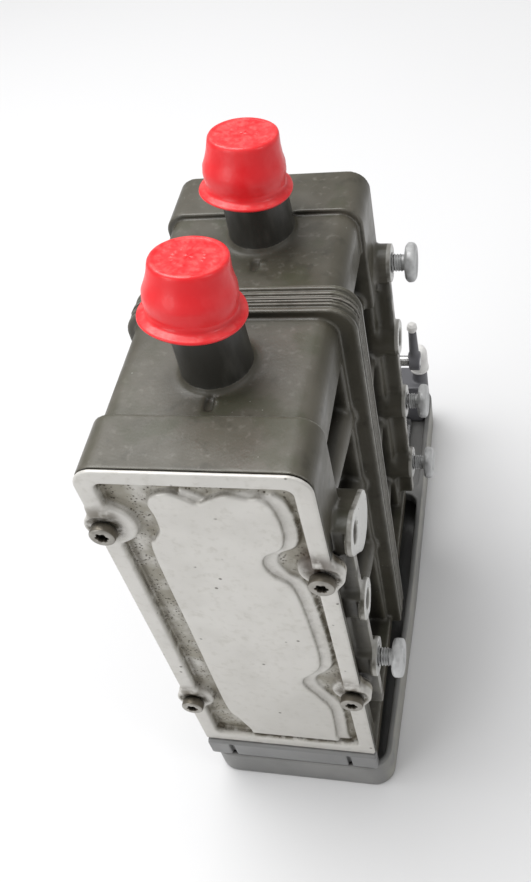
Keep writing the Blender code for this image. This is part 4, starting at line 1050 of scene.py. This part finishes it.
def port_cap(tag, top_r, body_r, flange_r, lean, dent):
    """Stretched push-on cap: bulged side, thin curled flange, leaning a little on its spigot.

    lean is how far the closed end is moved in X and Y, then the open end; dent is (angle, depth) of a pinch.
    """
    node = f"port_cap_{tag}"
    low, high = corners(node)
    foot, top = low[2], high[2]
    px, py = PORTS[tag][0], PORTS[tag][1]
    tall = top - foot

    def wobble(scale):
        return lambda angle: scale * (0.35 * np.cos(2 * angle + 0.6) + 0.25 * np.cos(3 * angle + 2.0))

    def side_r(r, amount=1.0):
        def radius(angle):
            near = np.exp(-((np.mod(angle - dent[0] + math.pi, 2 * math.pi) - math.pi) / 0.5) ** 2)
            return r + wobble(0.5 * amount)(angle) - dent[1] * amount * near
        return radius

    def edge_h(height, lift):
        return lambda angle: height + lift * np.cos(angle - 2.2) + 0.25 * np.cos(3 * angle)
    lip = [(0.2, 0.3, flange_r - 0.7), (-0.15, 0.3, flange_r - 0.25), (0.25, 0.3, flange_r),
           (0.75, 0.3, flange_r - 0.1), (1.1, 0.25, flange_r - 0.9), (1.5, 0.2, body_r + 0.9),
           (2.3, 0.1, body_r - 0.1)]
    bulge = [(0.34, body_r + 0.75, 1.3), (0.47, body_r + 0.55, 1.4), (0.58, body_r - 0.35, 1.2),
             (0.75, top_r + 0.75, 0.8)]
    outer = [(edge_h(foot + up, lift), side_r(r)) for up, lift, r in lip]
    outer.append((foot + 4.2, side_r(body_r + 0.15)))
    outer += [(foot + share * tall, side_r(r, amount)) for share, r, amount in bulge]
    outer += [(top - 2.4, side_r(top_r + 0.3, 0.5)), (top - 1.2, side_r(top_r + 0.1, 0.3)),
              (top - 0.45, top_r - 0.3), (top - 0.1, top_r - 0.9), (top - 0.05, top_r - 1.6),
              (top - 0.35, top_r - 2.1)]
    radii = np.arange(top_r - 2.5, 0.4, -0.35)
    disc = [(lambda angle, r=r: top - 0.4 + cap_marks(angle, r), r) for r in radii]
    inner = [(top - 1.9, 0.5), (top - 1.9, top_r - 2.6), (top - 3.2, top_r - 1.6),
             (foot + 0.5 * tall, side_r(body_r - 1.5, 1.2)), (edge_h(foot + 2.4, 0.1), side_r(body_r - 1.3)),
             (edge_h(foot + 0.5, 0.3), side_r(body_r))]
    sides = CAP_SIDES
    points, faces = rings_mesh(outer + disc, sides)
    cup, cup_faces = rings_mesh(inner, sides)
    keep = [face for face in faces if max(face) < len(points) - 2 or len(points) - 1 in face]
    keep_cup = [tuple(i + len(points) for i in face) for face in cup_faces
                if max(face) < len(cup) - 2 or len(cup) - 2 in face]
    last = len(points) + (len(inner) - 1) * sides
    seam = [(s, (s + 1) % sides, last + (s + 1) % sides, last + s) for s in range(sides)]
    points = np.concatenate([points, cup])
    share = ((points[:, 2] - foot) / tall)[:, None]
    points[:, :2] += np.array(lean[:2]) * share + np.array(lean[2:])
    points += np.array([px, py, 0])
    points[:, 2] -= (points[:, 0] - px) * lean[0] / tall + (points[:, 1] - py) * lean[1] / tall
    outward(piece(f"{node}_red", points, keep + keep_cup + seam, "red", f"{tag}_cap",
                  replaced=[node]))


# ---------------------------------------------------------------- base

# The right wall runs in by TAPER over the last TAPER_RUN millimetres in front of TAPER_END
TAPER = 2.9
TAPER_RUN = 105.0
TAPER_END = 22.0
DECK_Y, DECK_Z = 84, 19.5


def base_cover():
    """Base tray with a rounded lip, thin walls, screw posts and a raised deck at the rear."""
    x0, y0, z0 = BASE_LOW
    x1, y1, z1 = BASE_HIGH
    xs = steps(x0 - 1.5, x1 + 1.5, 2.4, [(x0 - 1, x0 + 6, 0.7), (x1 - 6, x1 + 1, 0.7)])
    ys = steps(y0 - 1.5, y1 + 1.5, 2.4, [(y0 - 1, y0 + 6, 0.7), (78, 88, 0.8), (y1 - 6, y1 + 1, 0.7)])
    solid = Solid(xs, ys, steps(z0 - 1.5, z1 + 1.5, 0.7))
    solid.add(upright(x0, x1, y0, y1, z0, z1, 10, 1.1), 0)
    solid.cut(upright(x0 + 3, x1 - 3, y0 + 3, DECK_Y - 4, 3, z1 + 20, 7, 0.5), 0.8)
    solid.cut(upright(x0 + 3, x1 - 3, DECK_Y - 10, y1 - 3, 3, DECK_Z - 3, 7, 0.5), 0.6)
    solid.cut(upright(x0 + 3, x1 - 3, DECK_Y, y1 - 3, DECK_Z, z1 + 20, 7, 0.5), 0.8)
    for index in range(1, 5):
        px, py, _ = middle(f"base_screw_{index}")
        solid.add(rod((px, py, 1), (px, py, z1), 6, r=0.4), 1.2)
        solid.cut(rod((px, py, -5), (px, py, z1 + 5), 2.4, r=0.1), 0.2)
        solid.cut(rod((px, py, -5), (px, py, 4.5), 4.6, r=0.1), 0.3)
    solid.cut(slab((x0 + 0.3, y0 - 4, FOOT_LOW - 0.4), (HALF_W + 1.2, y0 + 4.6, z1 + 20), 0.5), 0.4)
    points, faces = solid.surface()
    ahead = np.clip((TAPER_END - points[:, 1]) / TAPER_RUN, 0, 1)
    points[:, 0] -= TAPER * ahead * np.clip((points[:, 0] - 36) / 8, 0, 1)
    return piece("base_tray", points, faces, "base", replaced=["base_cover"])


def upright(x0, x1, y0, y1, z0, z1, corner, r):
    """Rounded rectangle seen from above, thick along Z, with rounded edges."""
    outline, _ = door(x0, x1, y0, y1, corner, corner)

    def distance(x, y, z):
        flat = outline(x, y) + r
        deep = np.abs(z - (z0 + z1) / 2) - (z1 - z0) / 2 + r
        return rounded(flat, deep, r)
    return distance, np.array([x0, y0, z0]), np.array([x1, y1, z1])


# ---------------------------------------------------------------- rear fittings

def connector():
    """Moulded socket tower with side ribs and a nozzle, and the white push-on cap on it."""
    low, high = corners("connector_body")
    solid = Solid(steps(low[0] - 1.5, high[0] + 2, 0.6), steps(low[1] - 1.5, high[1] + 1.5, 0.6),
                  steps(low[2] - 1.5, high[2] + 1.5, 0.8))
    cx, cy = middle("contact_insert")[0], middle("contact_insert")[1]
    solid.add(upright(low[0], cx + 1.3, low[1], high[1], low[2], 50, 2.4, 0.8), 0)
    for z in (27, 32, 37, 42):
        solid.cut(slab((low[0] - 3, low[1] - 3, z), (low[0] + 1.1, high[1] + 3, z + 2), 0.3), 0.5)
        solid.cut(slab((low[0] + 4, high[1] - 0.9, z), (high[0] + 3, high[1] + 3, z + 2), 0.3), 0.5)
    solid.add(rod((cx, cy, 30), (cx, cy, high[2]), 4.5, 4.3, r=0.4), 1.5)
    solid.cut(rod((cx, cy, 58), (cx, cy, 90), 3.2, r=0.1), 0.3)
    cast("connector_moulding", solid, "grey", ["connector_body"])
    low, high = corners("connector_cap")
    foot, top, r = low[2], high[2], (high[0] - low[0]) / 2
    rings = [(foot, r - 1.1), (foot, r - 0.6), (foot + 0.5, r - 0.3), (foot + 1.4, r - 0.3),
             (foot + 1.7, r - 0.6),
             (top - 6, r - 0.65), (top - 3.6, r - 0.9), (top - 1.8, r - 1.6), (top - 0.7, r - 2.7),
             (top - 0.2, r - 3.6), (top, r - 4.8), (top, 0.3), (top - 1.2, 0.3), (top - 1.4, r - 3.4),
             (top - 2.4, r - 2.2), (top - 5, r - 1.2), (top - 6, r - 1.15)]
    turned("connector_cap_dome", rings, (cx, cy, 0), (0, 0, 1), "white", "plug_cap",
           closed=True,
           replaced=["connector_cap"])


def solenoid():
    """Coil in a ribbed resin body, with its nut, and the relief adjuster's locknut."""
    low, high = corners("solenoid_coil")
    z = middle("solenoid_coil")[2]
    r = (high[0] - low[0]) / 2
    rings = [(low[1], 9.9), (low[1], r - 1.2), (low[1] + 0.4, r - 0.4), (low[1] + 1.2, r)]
    for index in range(4):
        start = low[1] + 5 + index * 8.6
        rings += [(start, r), (start + 0.5, r - 0.9), (start + 1.6, r - 0.9), (start + 2.1, r)]
    rings += [(high[1] - 1.2, r), (high[1] - 0.4, r - 0.4), (high[1], r - 1.2), (high[1], 9.9)]
    turned("coil_moulding", rings, (0, 0, z), (0, 1, 0), "coil", closed=True, sharp=30,
           replaced=["solenoid_coil"])
    hex_nut("coil_nut_hex", "coil_nut", 22.5, 9.9)
    hex_nut("relief_locknut_hex", "relief_locknut", 15.4, 5.6)


def lever():
    """Bent strip bracket, and the moulded lever with its tapered arm."""
    low, high = corners("lever_bracket")
    y, z = middle("lever_bracket")[1], middle("lever_shaft")[2]
    solid = Solid(*around_box(low, high, 0.7, 0.7, 0.9))
    solid.add(upright(low[0], high[0], low[1], high[1], low[2], low[2] + 4, 3, 0.5), 0)
    for x in (9.0, 34.0):
        solid.add(slab((x, y - 6, low[2] + 2), (x + 4, y + 6, z - 2), 0.5), 3.0)
        solid.add(rod((x, y, z), (x + 4, y, z), 6, r=0.5), 0.5)
    solid.cut(rod((0, y, z), (60, y, z), 3.35, r=0.1), 0.4)
    for x in (18.0, 29.0):
        solid.cut(rod((x, y, 0), (x, y, 40), 2.4, r=0.1), 0.3)
    cast("lever_bracket_strip", solid, "steel", ["lever_bracket"])
    low, high = corners("override_lever")
    x = middle("override_lever")[0]
    tip = corners("lever_knob")[0][2]
    solid = Solid(*around_box(low, high, 0.4, 0.4, 0.5))
    solid.add(rod((low[0], y, z), (high[0], y, z), 5.4, r=0.6), 0)
    solid.add(rod((x, y, z), (x, y, tip - 0.3), 2.9, 2.2, r=0.4), 2.5)
    solid.cut(rod((low[0] - 5, y, z), (high[0] + 5, y, z), 3.3, r=0.1), 0.4)
    cast("lever_arm_moulding", solid, "grey", ["override_lever"], "hand_lever")


def dress_nodes():
    """Gives every CAD node that still shows the finish of its record slot."""
    slots = {part["node"]: part["material_slot"] for part in frame["record"]["subparts"]}
    for name, obj in frame["nodes"].items():
        obj.data.materials.clear()
        obj.data.materials.append(FINISH["fibre" if "gasket" in name else SLOT_FINISH[slots[name]]])


# ---------------------------------------------------------------- stage

CAMERA_PLACE = Vector((105.3, -267.1, 486.1)) * MM
CAMERA_AZIMUTH, CAMERA_TILT, CAMERA_ROLL = 22.01, 41.89, -15.55
CAMERA_LENS = 40.13
# Name, place, aim, size and power of each light; world light is WORLD_LIGHT
LIGHTS = (
    ("overhead", (-0.45, 0.2, 1.5), (0, 0, 0.1), 1.4, 24.0),
    ("front", (-0.9, -1.1, 0.7), (0, 0, 0.12), 0.8, 5.0),
    ("side", (1.3, -0.4, 1.0), (0, 0, 0.1), 0.6, 2.5),
)
WORLD_LIGHT = 0.42


def camera():
    data = bpy.data.cameras.new("camera")
    data.lens = CAMERA_LENS
    data.clip_start = 0.01
    obj = bpy.data.objects.new("camera", data)
    bpy.context.scene.collection.objects.link(obj)
    turns = ((0, 0, 1), CAMERA_AZIMUTH), ((1, 0, 0), CAMERA_TILT), ((0, 0, 1), CAMERA_ROLL)
    rotation = Quaternion()
    for axis, angle in turns:
        rotation = rotation @ Quaternion(axis, math.radians(angle))
    obj.rotation_mode = "QUATERNION"
    obj.rotation_quaternion = rotation
    obj.location = CAMERA_PLACE
    bpy.context.scene.camera = obj


def area_light(name, place, aim, size, power):
    data = bpy.data.lights.new(name, "AREA")
    data.shape = "DISK"
    data.size = size
    data.energy = power
    obj = bpy.data.objects.new(name, data)
    bpy.context.scene.collection.objects.link(obj)
    obj.location = place
    obj.rotation_euler = (Vector(aim) - Vector(place)).to_track_quat("-Z", "Y").to_euler()


def stage():
    finish = Finish("floor_white", (0.785, 0.785, 0.79), 0.85)
    finish.tint(finish.patches(0.4, 0.7, 400, 2), (0.765, 0.765, 0.77), 0.5)
    made = bmesh.new()
    bmesh.ops.create_grid(made, x_segments=24, y_segments=24, size=3.0)
    mesh = bpy.data.meshes.new("floor")
    made.to_mesh(mesh)
    made.free()
    mesh.materials.append(finish.material)
    floor = bpy.data.objects.new("floor", mesh)
    bpy.context.scene.collection.objects.link(floor)
    world = bpy.data.worlds.new("studio")
    world.use_nodes = True
    world.node_tree.nodes["Background"].inputs["Color"].default_value = (1, 1, 1, 1)
    world.node_tree.nodes["Background"].inputs["Strength"].default_value = WORLD_LIGHT
    bpy.context.scene.world = world
    for light in LIGHTS:
        area_light(*light)
    bpy.context.scene.view_settings.view_transform = "Standard"


def main():
    camera()
    stage()
    dress_nodes()
    for tag in HALVES:
        cast(f"{tag}_casing", casing_solid(tag), "casting", [f"{tag}_housing"])
        spigot(tag)
    front_cover()
    front_gasket()
    rear_cover()
    for tag in HALVES:
        for index in range(1, 5):
            cover_screw(tag, index)
    for index in range(1, 5):
        mounting_bolt(index)
    port_cap("front", 13.4, 15.6, 18.9, (2.6, 3.6, -1.6, -2.6), (0.3, 0.6))
    port_cap("rear", 13.4, 15.4, 18.3, (2.4, 3.0, -1.8, -1.6), (0.2, 0.5))
    base_cover()
    connector()
    solenoid()
    lever()


main()
